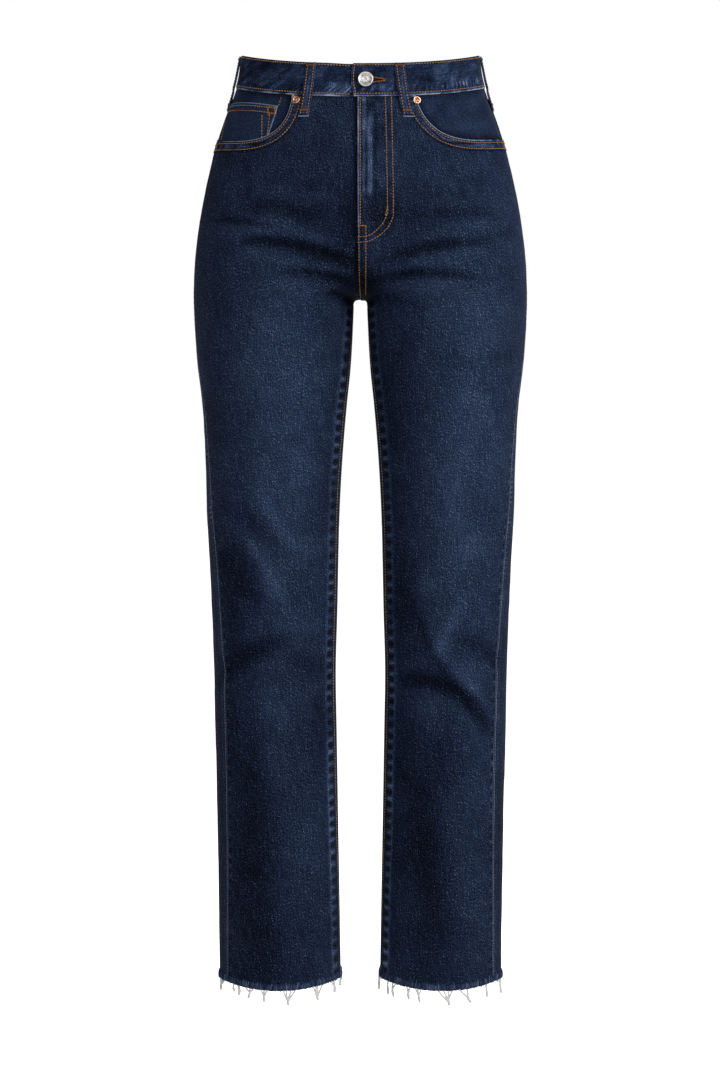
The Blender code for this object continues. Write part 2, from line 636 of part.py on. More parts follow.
def buttonhole_cutter():
    """A slot with a round eye at the button, through the waistband's upper layer alone."""
    point, normal = waist_place(1, BUTTON_ACROSS, BUTTON_HEIGHT)
    slit = 0.0009
    meets = math.asin(slit / BUTTONHOLE_RADIUS)
    turns = np.linspace(meets, 2 * math.pi - meets, 15)
    outline = [(BUTTONHOLE_RADIUS * math.cos(a), BUTTONHOLE_RADIUS * math.sin(a)) for a in turns]
    outline += [(BUTTONHOLE_LENGTH, -slit), (BUTTONHOLE_LENGTH, slit)]
    made = prism("buttonhole_cutter", outline, -0.003, BAND_THICKNESS + SEAM_GAP / 2)
    turn = Vector((0, -1, 0)).rotation_difference(Vector(normal)).to_matrix().to_4x4()
    made.matrix_world = Matrix.Translation(Vector(point + normal * BAND_PROUD)) @ turn
    return made


def rivet(half, name, finish):
    height = BAND_TOP - BAND_HEIGHT - RIVET_BELOW_BAND
    point, normal = waist_place(half, RIVET_ACROSS[half], height)
    r = RIVET_RADIUS
    profile = (
        (0, 0), (0.9 * r, 0), (r, 0.0005), (0.88 * r, 0.0012), (0.56 * r, 0.0013), (0.42 * r, 0.0005),
        (0.26 * r, 0.0007), (0, 0.0012),
    )
    return turned(name, profile, Vector(point + normal * SEAM_GAP), normal, 16, finish)


def frayed_hem(half, name, finish):
    """A narrow frayed strip below the cloth's raw edge, with locks of loose thread hanging from it."""
    around = np.linspace(0, 2, FRAY_STEPS, endpoint=False)
    rng = np.random.default_rng(11 if half == 1 else 23)
    middle = (FRAY_TOP + FRAY_FOOT) / 2
    rows = ((FRAY_TOP, 0.0, 0.0), (middle, FRAY_OUT, 0.2), (FRAY_FOOT, 0.6 * FRAY_OUT, 0.1))
    outer, inner = [], []
    for height, out, back in rows:
        level = np.full(FRAY_STEPS, height)
        point, normal = cloth(half, around, np.full(FRAY_STEPS, HEM + 0.001))
        point[:, 2] = level - WAIST_HEIGHT
        outer.append(point + normal * out)
        inner.append(point - normal * (FRAY_IN * (1 - back)))
    loops = outer + inner[::-1]
    shape = bmesh.new()
    rings = [[shape.verts.new(p) for p in loop] for loop in loops]
    foot = (len(outer) - 1, len(outer))
    for r, ring in enumerate(rings):
        following = rings[(r + 1) % len(rings)]
        for k in range(FRAY_STEPS):
            j = (k + 1) % FRAY_STEPS
            quad = (ring[k], ring[j], following[j], following[k])
            if (r, (r + 1) % len(rings)) == foot and k % LOCK_EVERY == 0:
                add_lock(shape, quad, rng)
            else:
                shape.faces.new(quad)
    if shape.calc_volume(signed=True) < 0:
        bmesh.ops.reverse_faces(shape, faces=shape.faces)
    mesh = bpy.data.meshes.new(name)
    shape.to_mesh(mesh)
    shape.free()
    return add_object(name, mesh, finish)


def add_lock(shape, quad, rng):
    """One four-sided lock of thread that hangs from a quad of the strip's foot."""
    centre = sum((v.co for v in quad), Vector()) / 4
    root = [shape.verts.new(centre + (v.co - centre) * LOCK_ROOT) for v in quad]
    sway = Vector((rng.uniform(-1, 1), rng.uniform(-1, 1), 0)) * 0.0022
    tip_at = centre + sway - Vector((0, 0, LOCK_LENGTH * rng.uniform(0.6, 1.0)))
    tip = []
    for v in root:
        away = v.co - centre
        away.z = 0
        tip.append(shape.verts.new(tip_at + away.normalized() * LOCK_TIP))
    for k in range(4):
        j = (k + 1) % 4
        shape.faces.new((quad[k], quad[j], root[j], root[k]))
        shape.faces.new((root[k], root[j], tip[j], tip[k]))
    shape.faces.new(tip)


def build():
    for old in list(bpy.data.objects):
        bpy.data.objects.remove(old)
    denim = material("indigo_denim", (0.016, 0.026, 0.055), 0.85)
    facing = material("facing_denim", (0.015, 0.024, 0.050), 0.85)
    frayed = material("frayed_denim", (0.100, 0.135, 0.210), 0.95)
    nickel = material("brushed_nickel", (0.62, 0.60, 0.57), 0.38, 1.0)
    copper = material("copper", (0.60, 0.33, 0.22), 0.35, 1.0)

    for half, side in ((1, "left"), (-1, "right")):
        front = front_panel(half, f"front_{side}", denim)
        cut(front, scoop_cutter(half))
        back_panel(half, f"back_{side}", denim)
        yoke(half, f"yoke_{side}", denim)
        pocket_facing(half, f"pocket_facing_{side}", facing)
        back_pocket(half, f"back_pocket_{side}", denim)
        rivet(half, f"rivet_{side}", copper)
        frayed_hem(half, f"frayed_hem_{side}", frayed)
    coin_pocket("coin_pocket", denim)
    band = waistband("waistband", denim)
    cut(band, buttonhole_cutter())
    for loop in LOOPS:
        belt_loop(loop, denim)
    shank_button(nickel)


build()
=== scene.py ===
"""How the raw hem jeans look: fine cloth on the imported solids' own form, with its creases, sewing, metal and
frayed hems.

Metres, +Z up, the front towards -Y, the wearer's left side at +X. Heights in the tables are above the hems.
half is 1 for the wearer's left and -1 for the right.
"""

import math
from collections import namedtuple

import bpy
import numpy as np
from mathutils import Matrix, Vector
from mathutils.bvhtree import BVHTree


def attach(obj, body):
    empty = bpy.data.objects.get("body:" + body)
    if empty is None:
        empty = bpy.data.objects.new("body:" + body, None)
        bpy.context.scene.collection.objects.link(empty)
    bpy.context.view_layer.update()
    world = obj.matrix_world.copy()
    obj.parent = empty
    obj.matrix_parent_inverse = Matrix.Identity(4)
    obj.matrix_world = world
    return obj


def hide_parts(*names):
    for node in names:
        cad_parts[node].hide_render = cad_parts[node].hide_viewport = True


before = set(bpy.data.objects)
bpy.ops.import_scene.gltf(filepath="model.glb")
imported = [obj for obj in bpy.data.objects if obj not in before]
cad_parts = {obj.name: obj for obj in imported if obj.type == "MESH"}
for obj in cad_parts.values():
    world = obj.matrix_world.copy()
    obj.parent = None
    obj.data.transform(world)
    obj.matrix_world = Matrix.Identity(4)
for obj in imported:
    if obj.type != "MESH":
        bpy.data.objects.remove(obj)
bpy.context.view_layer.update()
SIDES = ((1, "left"), (-1, "right"))


def rows_of(fields, *rows):
    """A table whose rows have named values."""
    row = namedtuple("Row", fields)
    return [row(*values) for values in rows]


# Sizes that the solids are built to
BAND_TOP, BAND_HEIGHT = 0.9965, 0.035
BAND_FOOT = BAND_TOP - BAND_HEIGHT
WAIST_HEIGHT = BAND_TOP - BAND_HEIGHT / 2
CROTCH, HEM = 0.736, 0.0
FRONT_DIP, BACK_RISE = 0.0225, 0.0045
DIP_STARTS, DIP_POWER = 0.80, 1.4
CLOTH, SEAM_GAP = 0.0012, 0.0003
TRUNK_POWER, LEG_POWER = 2.3, 2.15
FRONT_RISE_CURVE, BACK_RISE_CURVE = 0.085, 0.125
TRUNK_ENDS, LEGS_BEGIN = 0.87, 0.70
CLEFT_REACH, CLEFT_ROUND, SADDLE_DEPTH = 0.06, 0.014, 0.007
FLY_SHIFT = 0.0032

SECTIONS = rows_of(
    "height outer inner front back",
    (1.0, 0.1274, 0.0, 0.0885, 0.0905),
    (0.965, 0.1328, 0.0, 0.0945, 0.098),
    (0.951, 0.1376, 0.0, 0.097, 0.1015),
    (0.94, 0.142, 0.0, 0.099, 0.1045),
    (0.9, 0.1556, 0.0, 0.1045, 0.1155),
    (0.87, 0.1632, 0.0, 0.1075, 0.1225),
    (0.84, 0.1698, 0.002, 0.1095, 0.1275),
    (0.8, 0.1762, 0.0045, 0.1105, 0.1285),
    (0.76, 0.1795, 0.0066, 0.11, 0.1235),
    (0.73, 0.1796, 0.0074, 0.108, 0.1165),
    (0.7, 0.1786, 0.0083, 0.105, 0.1105),
    (0.66, 0.1759, 0.0107, 0.1, 0.1035),
    (0.62, 0.1712, 0.0148, 0.095, 0.098),
    (0.56, 0.168, 0.0197, 0.0875, 0.0905),
    (0.5, 0.1664, 0.0228, 0.081, 0.0835),
    (0.45, 0.1638, 0.024, 0.0765, 0.0785),
    (0.4, 0.1617, 0.025, 0.0735, 0.0755),
    (0.33, 0.1594, 0.0268, 0.0705, 0.0735),
    (0.27, 0.1582, 0.0259, 0.0688, 0.0728),
    (0.2, 0.1566, 0.0248, 0.067, 0.0722),
    (0.1, 0.155, 0.023, 0.0648, 0.0718),
    (0.0, 0.1538, 0.0214, 0.0632, 0.0714),
)

# How far round to the front each long seam lies, in degrees from the side or the inside of the leg
SEAM_TURNS = rows_of(
    "height outseam inseam",
    (1.0, 0.0, 0.0),
    (0.86, 0.0, 0.0),
    (0.8, 0.0, 0.0),
    (0.738, 6.0, 0.0),
    (0.69, 12.0, 9.0),
    (0.62, 19.0, 14.0),
    (0.45, 32.0, 16.0),
    (0.3, 38.0, 16.0),
    (0.14, 36.5, 13.0),
    (0.0, 33.0, 7.0),
)

# Creases seen square on: each runs along a soft curve from start through middle to end. A trough has a depth
# above 0 and a ridge one below it, and the last column says how much painted shade darkens the trough; below 0
# it is painted highlight that makes the ridge paler.
FOLD = "start middle end depth width wear"
FRONT_FOLDS = rows_of(
    FOLD,
    # The wearer's right, from the crotch up
    ((-0.034, 0.735), (-0.018, 0.7335), (-0.003, 0.735), 0.0024, 0.005, 0.9),
    ((-0.11, 0.746), (-0.06, 0.743), (-0.02, 0.738), -0.001, 0.007, -0.15),
    ((-0.078, 0.756), (-0.04, 0.754), (-0.006, 0.743), 0.0032, 0.0042, 0.9),
    ((-0.126, 0.784), (-0.096, 0.77), (-0.02, 0.757), -0.0012, 0.006, -0.2),
    ((-0.122, 0.79), (-0.062, 0.783), (-0.006, 0.763), 0.0048, 0.0058, 1.6),
    ((-0.15, 0.803), (-0.1, 0.796), (-0.02, 0.783), -0.0012, 0.006, -0.2),
    ((-0.16, 0.8145), (-0.128, 0.8105), (-0.09, 0.801), 0.0024, 0.0038, 0.65),
    ((-0.12, 0.81), (-0.08, 0.808), (-0.04, 0.796), -0.001, 0.007, -0.15),
    ((-0.12, 0.824), (-0.07, 0.819), (-0.012, 0.779), 0.002, 0.009, 0.6),
    ((-0.13, 0.839), (-0.08, 0.835), (-0.03, 0.82), -0.0008, 0.01, -0.1),
    # The wearer's left, from the crotch up
    ((0.002, 0.734), (0.028, 0.7325), (0.062, 0.721), 0.0024, 0.006, 0.45),
    ((0.02, 0.742), (0.06, 0.744), (0.11, 0.743), -0.001, 0.006, -0.15),
    ((0.012, 0.7465), (0.06, 0.7545), (0.116, 0.7515), 0.0034, 0.0048, 0.95),
    ((0.03, 0.766), (0.08, 0.769), (0.14, 0.776), -0.001, 0.008, -0.15),
    ((0.02, 0.7655), (0.08, 0.7835), (0.134, 0.7885), 0.004, 0.006, 0.9),
    ((0.06, 0.79), (0.11, 0.7925), (0.16, 0.786), -0.0012, 0.005, -0.25),
    ((0.04, 0.794), (0.09, 0.8), (0.15, 0.81), -0.001, 0.008, -0.15),
    ((0.055, 0.812), (0.105, 0.8195), (0.15, 0.818), 0.0018, 0.0075, 0.45),
    ((0.08, 0.837), (0.12, 0.835), (0.15, 0.83), -0.0008, 0.01, -0.1),
    # The wearer's right knee
    ((-0.11, 0.526), (-0.09, 0.5), (-0.066, 0.456), -0.0014, 0.008, -0.2),
    ((-0.128, 0.508), (-0.108, 0.487), (-0.08, 0.462), 0.0024, 0.009, 0.4),
    ((-0.136, 0.496), (-0.108, 0.456), (-0.076, 0.402), -0.002, 0.008, -0.32),
    ((-0.146, 0.468), (-0.122, 0.432), (-0.106, 0.405), 0.0022, 0.014, 0.35),
    ((-0.15, 0.327), (-0.12, 0.3545), (-0.084, 0.37), 0.0046, 0.011, 0.8),
    ((-0.078, 0.352), (-0.056, 0.345), (-0.036, 0.337), 0.0014, 0.009, 0.4),
    ((-0.048, 0.316), (-0.044, 0.304), (-0.04, 0.286), 0.0014, 0.006, 0.3),
    # The wearer's left knee
    ((0.06, 0.49), (0.082, 0.486), (0.1, 0.477), 0.001, 0.008, 0.15),
    ((0.112, 0.42), (0.094, 0.385), (0.08, 0.356), -0.0022, 0.0085, -0.35),
    ((0.1, 0.372), (0.128, 0.36), (0.156, 0.336), 0.0026, 0.0095, 0.65),
    ((0.07, 0.364), (0.104, 0.333), (0.142, 0.286), -0.0022, 0.0075, -0.4),
    ((0.048, 0.327), (0.1, 0.3165), (0.132, 0.278), 0.005, 0.0078, 1.45),
    ((0.06, 0.392), (0.074, 0.354), (0.094, 0.332), 0.0026, 0.0075, 0.6),
    ((0.034, 0.312), (0.044, 0.29), (0.052, 0.26), 0.001, 0.008, 0.05),
)
BACK_FOLDS = rows_of(
    FOLD,
    ((0.01, 0.746), (0.066, 0.749), (0.135, 0.766), 0.0044, 0.0075, 0.4),
    ((0.016, 0.718), (0.064, 0.7165), (0.12, 0.724), 0.0034, 0.008, 0.35),
    ((0.024, 0.686), (0.061, 0.6825), (0.1, 0.684), 0.0022, 0.009, 0.25),
    ((0.02, 0.762), (0.054, 0.764), (0.1, 0.774), -0.001, 0.006, -0.2),
    ((0.03, 0.732), (0.07, 0.731), (0.11, 0.739), -0.001, 0.006, -0.2),
    ((0.04, 0.78), (0.08, 0.786), (0.13, 0.8), 0.001, 0.007, 0.2),
    ((0.036, 0.424), (0.09, 0.413), (0.146, 0.416), 0.0036, 0.011, 0.35),
    ((0.05, 0.398), (0.09, 0.396), (0.13, 0.401), -0.001, 0.007, -0.2),
    ((0.036, 0.372), (0.088, 0.3782), (0.146, 0.37), 0.0034, 0.01, 0.35),
    ((0.06, 0.356), (0.09, 0.354), (0.124, 0.36), -0.0009, 0.006, -0.15),
    ((0.04, 0.34), (0.09, 0.3322), (0.14, 0.336), 0.0026, 0.011, 0.3),
)
FOLD_STEPS = 48
RIPPLE = 0.00035

# Waistband, yoke and pockets
BAND_THICKNESS, BAND_PROUD = 0.0024, 0.0009
BAND_OVERLAP, BAND_UNDERLAP, BAND_JOG = 0.0080, 0.030, 0.030
YOKE_AT_SIDE, YOKE_AT_CENTRE = 0.021, 0.062
BACK_SETTLES = 0.857
FACING_CLOTH = COIN_CLOTH = 0.0010
FACING_BEHIND = {1: CLOTH + SEAM_GAP, -1: CLOTH + COIN_CLOTH + 2 * SEAM_GAP}
# Each scoop's curve from the waistband to the side: its two ends and the two points that it bends towards
SCOOPS = {
    1: ((0.0562, 0.9450), (0.0640, 0.9080), (0.0900, 0.8830), (0.1560, 0.9040)),
    -1: ((0.0710, 0.9450), (0.0740, 0.9020), (0.1010, 0.8860), (0.1560, 0.9020)),
}
FACING_INNER, FACING_FOOT = 0.046, 0.885
COIN_CORNER = (0.0885, 0.9303)
COIN_BAND, COIN_FOOT, COIN_RISES = 0.0083, 0.8915, 0.215
COIN_BODY = (0.0965, 0.0935)
POCKET_CENTRE, POCKET_TOP, POCKET_CLOTH = 0.079, 0.9000, 0.0011
POCKET_WIDTHS, POCKET_DEPTHS = (0.138, 0.116), (0.122, 0.146)

# Belt loops
LOOP_WIDTH, LOOP_CLOTH, LOOP_DROP, LOOP_SLACK = 0.0108, 0.0016, 0.0242, 0.0016
LOOPS = rows_of(
    "name half top foot",
    ("belt_loop_front_right", -1, 0.251, 0.264),
    ("belt_loop_front_left", 1, 0.2145, 0.235),
    ("belt_loop_side_right", -1, 1.01, 1.01),
    ("belt_loop_side_left", 1, 1.01, 1.01),
    ("belt_loop_back", 1, 2.0, 2.0),
)

# Metal: each profile holds (radius, height) points from the axis at the back, round to the axis at the front
BUTTON_ACROSS, BUTTON_HEIGHT = 0.0052, 0.9786
BUTTON_PROFILE = (
    (0, -0.0024), (0.0021, -0.0024), (0.0021, 0.0010), (0.0066, 0.0011), (0.0078, 0.0014),
    (0.0081, 0.0019), (0.0081, 0.0023), (0.0079, 0.0028), (0.0074, 0.0031), (0.0068, 0.0031),
    (0.0065, 0.0029), (0.0060, 0.0026), (0.0057, 0.0025), (0.0054, 0.0027), (0.0052, 0.0030),
    (0.0047, 0.0030), (0.0044, 0.0027), (0.0041, 0.0026), (0.0038, 0.0029), (0.0033, 0.0031),
    (0.0029, 0.0029), (0.0024, 0.0028), (0.0019, 0.0030), (0.0013, 0.0029), (0.0010, 0.0021),
    (0.0006, 0.0020), (0, 0.0023),
)
# Radii where painted shade darkens the button: its ring grooves, its centre dip and its outer rim
BUTTON_GROOVES = (0.0057, 0.0041, 0.0008, 0.0082)
HOLE_EYE, HOLE_END, HOLE_TACK = 0.0066, 0.0196, 0.0202
RIVET_ACROSS, RIVET_BELOW_BAND = {-1: 0.0670, 1: 0.0585}, 0.0058
RIVET_PROFILE = (
    (0, 0), (0.0038, 0), (0.0043, 0.0003), (0.0044, 0.0007), (0.0042, 0.0011), (0.0037, 0.00135),
    (0.0030, 0.0014), (0.0025, 0.0012), (0.0021, 0.0007), (0.0017, 0.0005), (0.0013, 0.0006),
    (0.0009, 0.0011), (0, 0.0013),
)
# Radii where painted shade darkens the rivet: its ring groove and its outer rim
RIVET_GROOVES = (0.0019, 0.0045)

# Frayed hems
HEM_LINE = HEM + 0.001
FRAY_FOOT, FRAY_OUT, FRAY_IN = -0.0056, 0.0013, 0.0016
FRONT_LIFT, SIDE_LIFT = 0.0130, 0.0020
HEM_STEPS, HEM_ROWS, FRINGE_ENDS = 260, 10, 430

# How finely the cloth is divided
PANEL_COLUMNS, MOUTH_ROWS, RISE_ROWS, BAND_GRID = 72, 40, 25, 19
SCOOP_BASE = 0.862
ROW_STEP = 0.0027
EDGE_INSET = 0.00012
TACK_GAP = 0.00048

# Sewing seen square on: the fly's J, the rows beside it, and the coin pocket's rows
J_INNER = (
    (0.0260, 0.9372), (0.0278, 0.8290), (0.0272, 0.8150), (0.0207, 0.8032),
    (0.0093, 0.7939), (-0.0028, 0.7918),
)
J_OUTER = (
    (0.0322, 0.9373), (0.0340, 0.8280), (0.0328, 0.8110), (0.0259, 0.7992),
    (0.0114, 0.7888), (-0.0028, 0.7864),
)
FLY_ROWS = (
    J_INNER,
    J_OUTER,
    ((-0.0002, 0.9360), (-0.0002, 0.8060)),
    ((-0.0018, 0.8020), (-0.0014, 0.7368)),
    ((0.0056, 0.8020), (0.0056, 0.7366)),
)
FLY_TACKS = (((-0.0024, 0.8034), (0.0060, 0.8034), 0.0012), ((0.0279, 0.8220), (0.0258, 0.8145), 0.0010))
COIN_ROWS = (
    ((-0.0905, 0.9290), (-0.1440, 0.9405)),
    ((-0.0905, 0.9234), (-0.1470, 0.9355)),
    ((-0.1040, 0.9215), (-0.1040, 0.8960)),
    ((-0.0960, 0.9215), (-0.0985, 0.8960)),
    ((-0.1462, 0.9320), (-0.1500, 0.9040)),
    ((-0.0844, 0.9400), (-0.0865, 0.9330)),
)
COIN_TACKS = (
    ((-0.0900, 0.9300), (-0.0968, 0.9306), 0.0014),
    ((-0.0900, 0.9228), (-0.0968, 0.9234), 0.0014),
    ((-0.0897, 0.9300), (-0.0897, 0.9228), 0.0012),
    ((-0.0973, 0.9300), (-0.0973, 0.9228), 0.0012),
    ((-0.1430, 0.9412), (-0.1455, 0.9345), 0.0024),
)

# Where the dye has paled or stayed darker, seen square on. At the front many spots are painted light and shade
# instead: painted shade down the left side of each leg as it is seen, away from the key light, painted light
# where the legs face it, and painted shade in the hollows at the crotch, beside the fly, over the hips and
# about the knees.
FADE_SPOT = "x height wide tall lean amount"
FRONT_FADES_AND_PAINTED_LIGHT = rows_of(
    FADE_SPOT,
    # The wearer's right leg: a thigh paler from use, with painted shade down its outer side and in hollows
    # about the knee
    (-0.084, 0.56, 0.05, 0.16, 0.0, 0.32),
    (-0.115, 0.61, 0.02, 0.05, 0.0, 0.12),
    (-0.036, 0.54, 0.014, 0.05, 0.0, -0.15),
    (-0.125, 0.69, 0.03, 0.03, 0.0, 0.18),
    (-0.154, 0.64, 0.018, 0.12, 0.0, -0.2),
    (-0.136, 0.42, 0.018, 0.08, -0.1, -0.4),
    (-0.06, 0.38, 0.03, 0.01, 0.0, 0.2),
    (-0.112, 0.12, 0.022, 0.15, -0.06, -0.75),
    (-0.138, 0.27, 0.008, 0.06, 0.0, -0.35),
    (-0.06, 0.333, 0.026, 0.014, 0.0, -0.35),
    (-0.102, 0.296, 0.02, 0.02, 0.0, 0.2),
    (-0.052, 0.25, 0.026, 0.05, 0.0, -0.25),
    (-0.1, 0.045, 0.06, 0.05, 0.0, -0.28),
    # The wearer's left leg: a paler thigh, partly from use and partly painted light where it faces the key
    # light, with painted shade down its inner side and about the knee
    (0.11, 0.56, 0.032, 0.18, 0.0, 0.42),
    (0.15, 0.66, 0.02, 0.1, 0.0, 0.12),
    (0.1, 0.715, 0.05, 0.03, 0.0, 0.2),
    (0.085, 0.46, 0.025, 0.05, 0.0, 0.2),
    (0.04, 0.62, 0.016, 0.09, 0.06, -0.22),
    (0.05, 0.39, 0.018, 0.045, -0.1, -0.45),
    (0.062, 0.292, 0.024, 0.024, 0.0, 0.35),
    (0.084, 0.366, 0.014, 0.016, 0.0, 0.3),
    (0.092, 0.24, 0.022, 0.03, 0.0, -0.22),
    (0.118, 0.13, 0.024, 0.12, 0.0, 0.22),
    (0.069, 0.15, 0.019, 0.12, -0.08, -0.8),
    (0.08, 0.08, 0.09, 0.15, 0.0, -0.15),
    # The hips: mostly painted shade in the hollows between the creases, at the crotch and beside the fly, with
    # a few paler spots
    (-0.06, 0.88, 0.08, 0.04, 0.0, -0.12),
    (-0.05, 0.845, 0.042, 0.008, 0.0, -0.25),
    (-0.05, 0.819, 0.042, 0.011, 0.0, -0.38),
    (-0.042, 0.773, 0.036, 0.009, 0.0, -0.45),
    (-0.03, 0.748, 0.022, 0.008, 0.0, -0.4),
    (-0.14, 0.8, 0.022, 0.014, 0.0, 0.2),
    (0.09, 0.838, 0.026, 0.008, 0.0, -0.25),
    (0.13, 0.798, 0.024, 0.01, 0.0, -0.22),
    (0.136, 0.825, 0.03, 0.016, 0.0, 0.2),
    (0.046, 0.815, 0.03, 0.016, 0.0, -0.3),
    (0.044, 0.733, 0.026, 0.007, 0.0, 0.25),
    (-0.012, 0.812, 0.012, 0.03, 0.0, -0.6),
    (0.004, 0.744, 0.013, 0.018, 0.0, -1.25),
    (0.024, 0.818, 0.016, 0.024, 0.0, -0.8),
)
BACK_FADES = rows_of(
    FADE_SPOT,
    (0.085, 0.84, 0.06, 0.07, 0.0, 0.3),
    (0.09, 0.56, 0.05, 0.18, 0.0, 0.25),
    (0.135, 0.16, 0.022, 0.18, 0.0, -0.3),
)

# Locks of loose thread at the front: where each hangs, then in millimetres the roots of its strands to each
# side, the joint where they meet and their tip, both as across and down
FRONT_LOCKS = rows_of(
    "half x roots joint tip",
    (-1, 0.1506, (-1.9, 1.9), (0.2, 1.8), (0.2, 7.9)),
    (-1, 0.136, (0.0,), (1.1, 0.6), (3.2, 3.4)),
    (-1, 0.13, (0.4, -0.4), (0.6, 0.9), (0.9, 6.8)),
    (-1, 0.1178, (-4.5, -0.2, 4.7), (-0.1, 2.6), (-1.8, 9.0)),
    (-1, 0.1027, (-3.2, 0.1, 3.1), (0.1, 6.9), (-0.1, 11.5)),
    (-1, 0.0761, (-6.5, -2.7, 2.2, 7.0), (-1.1, 11.1), (-0.8, 14.9)),
    (-1, 0.0468, (-5.2, -1.4, 0.4, 6.2), (-0.3, 9.3), (0.2, 11.9)),
    (-1, 0.0308, (-2.9, 2.9), (3.6, 2.6), (4.0, 8.5)),
    (-1, 0.0226, (0.0,), (0.3, 2.5), (0.5, 5.3)),
    (1, 0.0226, (0.0,), (-0.9, 2.5), (-1.6, 6.6)),
    (1, 0.0307, (0.0,), (1.0, 4.3), (2.1, 9.6)),
    (1, 0.0373, (-2.4, 2.4), (-1.9, 3.4), (0.3, 10.4)),
    (1, 0.0515, (-1.6, 1.6), (0.6, 4.0), (0.6, 10.4)),
    (1, 0.0621, (-3.1, -0.3, 3.4), (0.7, 6.2), (1.8, 12.9)),
    (1, 0.091, (-7.7, -2.3, 3.1, 6.8), (2.6, 9.7), (3.7, 14.5)),
    (1, 0.1096, (-4.6, 4.6), (5.1, 7.7), (7.8, 13.1)),
    (1, 0.1341, (-1.3, 1.3), (0.3, 3.6), (0.8, 9.6)),
    (1, 0.1506, (-2.7, 2.7), (0.6, 2.8), (1.7, 12.2)),
)

# Light level that the colours below are judged in
LIGHT_LEVEL = 1.25
TWILL_LEAN = math.radians(-32)

Panel = namedtuple("Panel", "piece outer normal level from_start from_end")


# The cloth's form


def ease(value):
    """0 below 0, 1 above 1, and a smooth S between them."""
    value = np.clip(value, 0.0, 1.0)
    return value * value * (3 - 2 * value)


def bell(away, width):
    """1 in the middle of a soft band and 0 well outside its width."""
    return np.exp(-((away / width) ** 2))


def column(table, name, height):
    """A table's column at any heights, on smooth curves through its rows."""
    rows = sorted(table, key=lambda row: row.height)
    at = np.array([row.height for row in rows])
    value = np.array([getattr(row, name) for row in rows])
    slope = np.gradient(value, at)
    height = np.clip(height, at[0], at[-1])
    k = np.clip(np.searchsorted(at, height) - 1, 0, len(at) - 2)
    span = at[k + 1] - at[k]
    t = (height - at[k]) / span
    return (
        value[k] * (2 * t**3 - 3 * t**2 + 1)
        + slope[k] * span * (t**3 - 2 * t**2 + t)
        + value[k + 1] * (3 * t**2 - 2 * t**3)
        + slope[k + 1] * span * (t**3 - t**2)
    )


def rounded(share, power):
    """The height of a superellipse quadrant of that power, at a share of the way to its side."""
    return (1 - np.clip(np.abs(share), 0, 1) ** power) ** (1 / power)


def uneven(along, length, seed):
    """Smooth random values from -1 to 1 along a line, which change over that length."""
    values = np.random.default_rng(seed).uniform(-1, 1, 256)
    place = np.asarray(along, float) / length + 64
    k = np.floor(place).astype(int)
    t = ease(place - k)
    return values[k % 256] * (1 - t) + values[(k + 1) % 256] * t


def uneven_cloth(x, z, length, seed):
    """Smooth random values from -1 to 1 over a surface, which change over that length."""
    values = np.random.default_rng(seed).uniform(-1, 1, (128, 128))
    across, up = np.asarray(x, float) / length + 32, np.asarray(z, float) / length + 32
    i, j = np.floor(across).astype(int), np.floor(up).astype(int)
    s, t = ease(across - i), ease(up - j)
    i, j, i2, j2 = i % 128, j % 128, (i + 1) % 128, (j + 1) % 128
    low = values[i, j] * (1 - s) + values[i2, j] * s
    high = values[i, j2] * (1 - s) + values[i2, j2] * s
    return low * (1 - t) + high * t


def crease(folds, x, height):
    """How far the folds move the cloth outwards, and the painted shade in their troughs and painted highlight
    on their ridges, at points seen square on.
    """
    move, dark = np.zeros_like(x), np.zeros_like(x)
    for fold in folds:
        start, middle, end = (np.array(p) for p in (fold.start, fold.middle, fold.end))
        t = np.linspace(0, 1, FOLD_STEPS)[:, None]
        line = (1 - t) * (1 - 2 * t) * start + 4 * t * (1 - t) * middle + t * (2 * t - 1) * end
        reach = 3 * fold.width
        low, high = line.min(axis=0) - reach, line.max(axis=0) + reach
        near = (x > low[0]) & (x < high[0]) & (height > low[1]) & (height < high[1])
        if not near.any():
            continue
        apart = np.hypot(x[near][:, None] - line[:, 0], height[near][:, None] - line[:, 1])
        nearest = apart.argmin(axis=1)
        away = apart[np.arange(len(nearest)), nearest]
        fade = np.sin(math.pi * np.clip(0.06 + 0.88 * nearest / (FOLD_STEPS - 1), 0, 1)) ** 0.7
        band = bell(away, fold.width) * fade
        move[near] -= fold.depth * band
        # Painted shade in a trough and painted highlight on a ridge, put into the cloth's colour
        dark[near] += fold.wear * band
    return move, dark


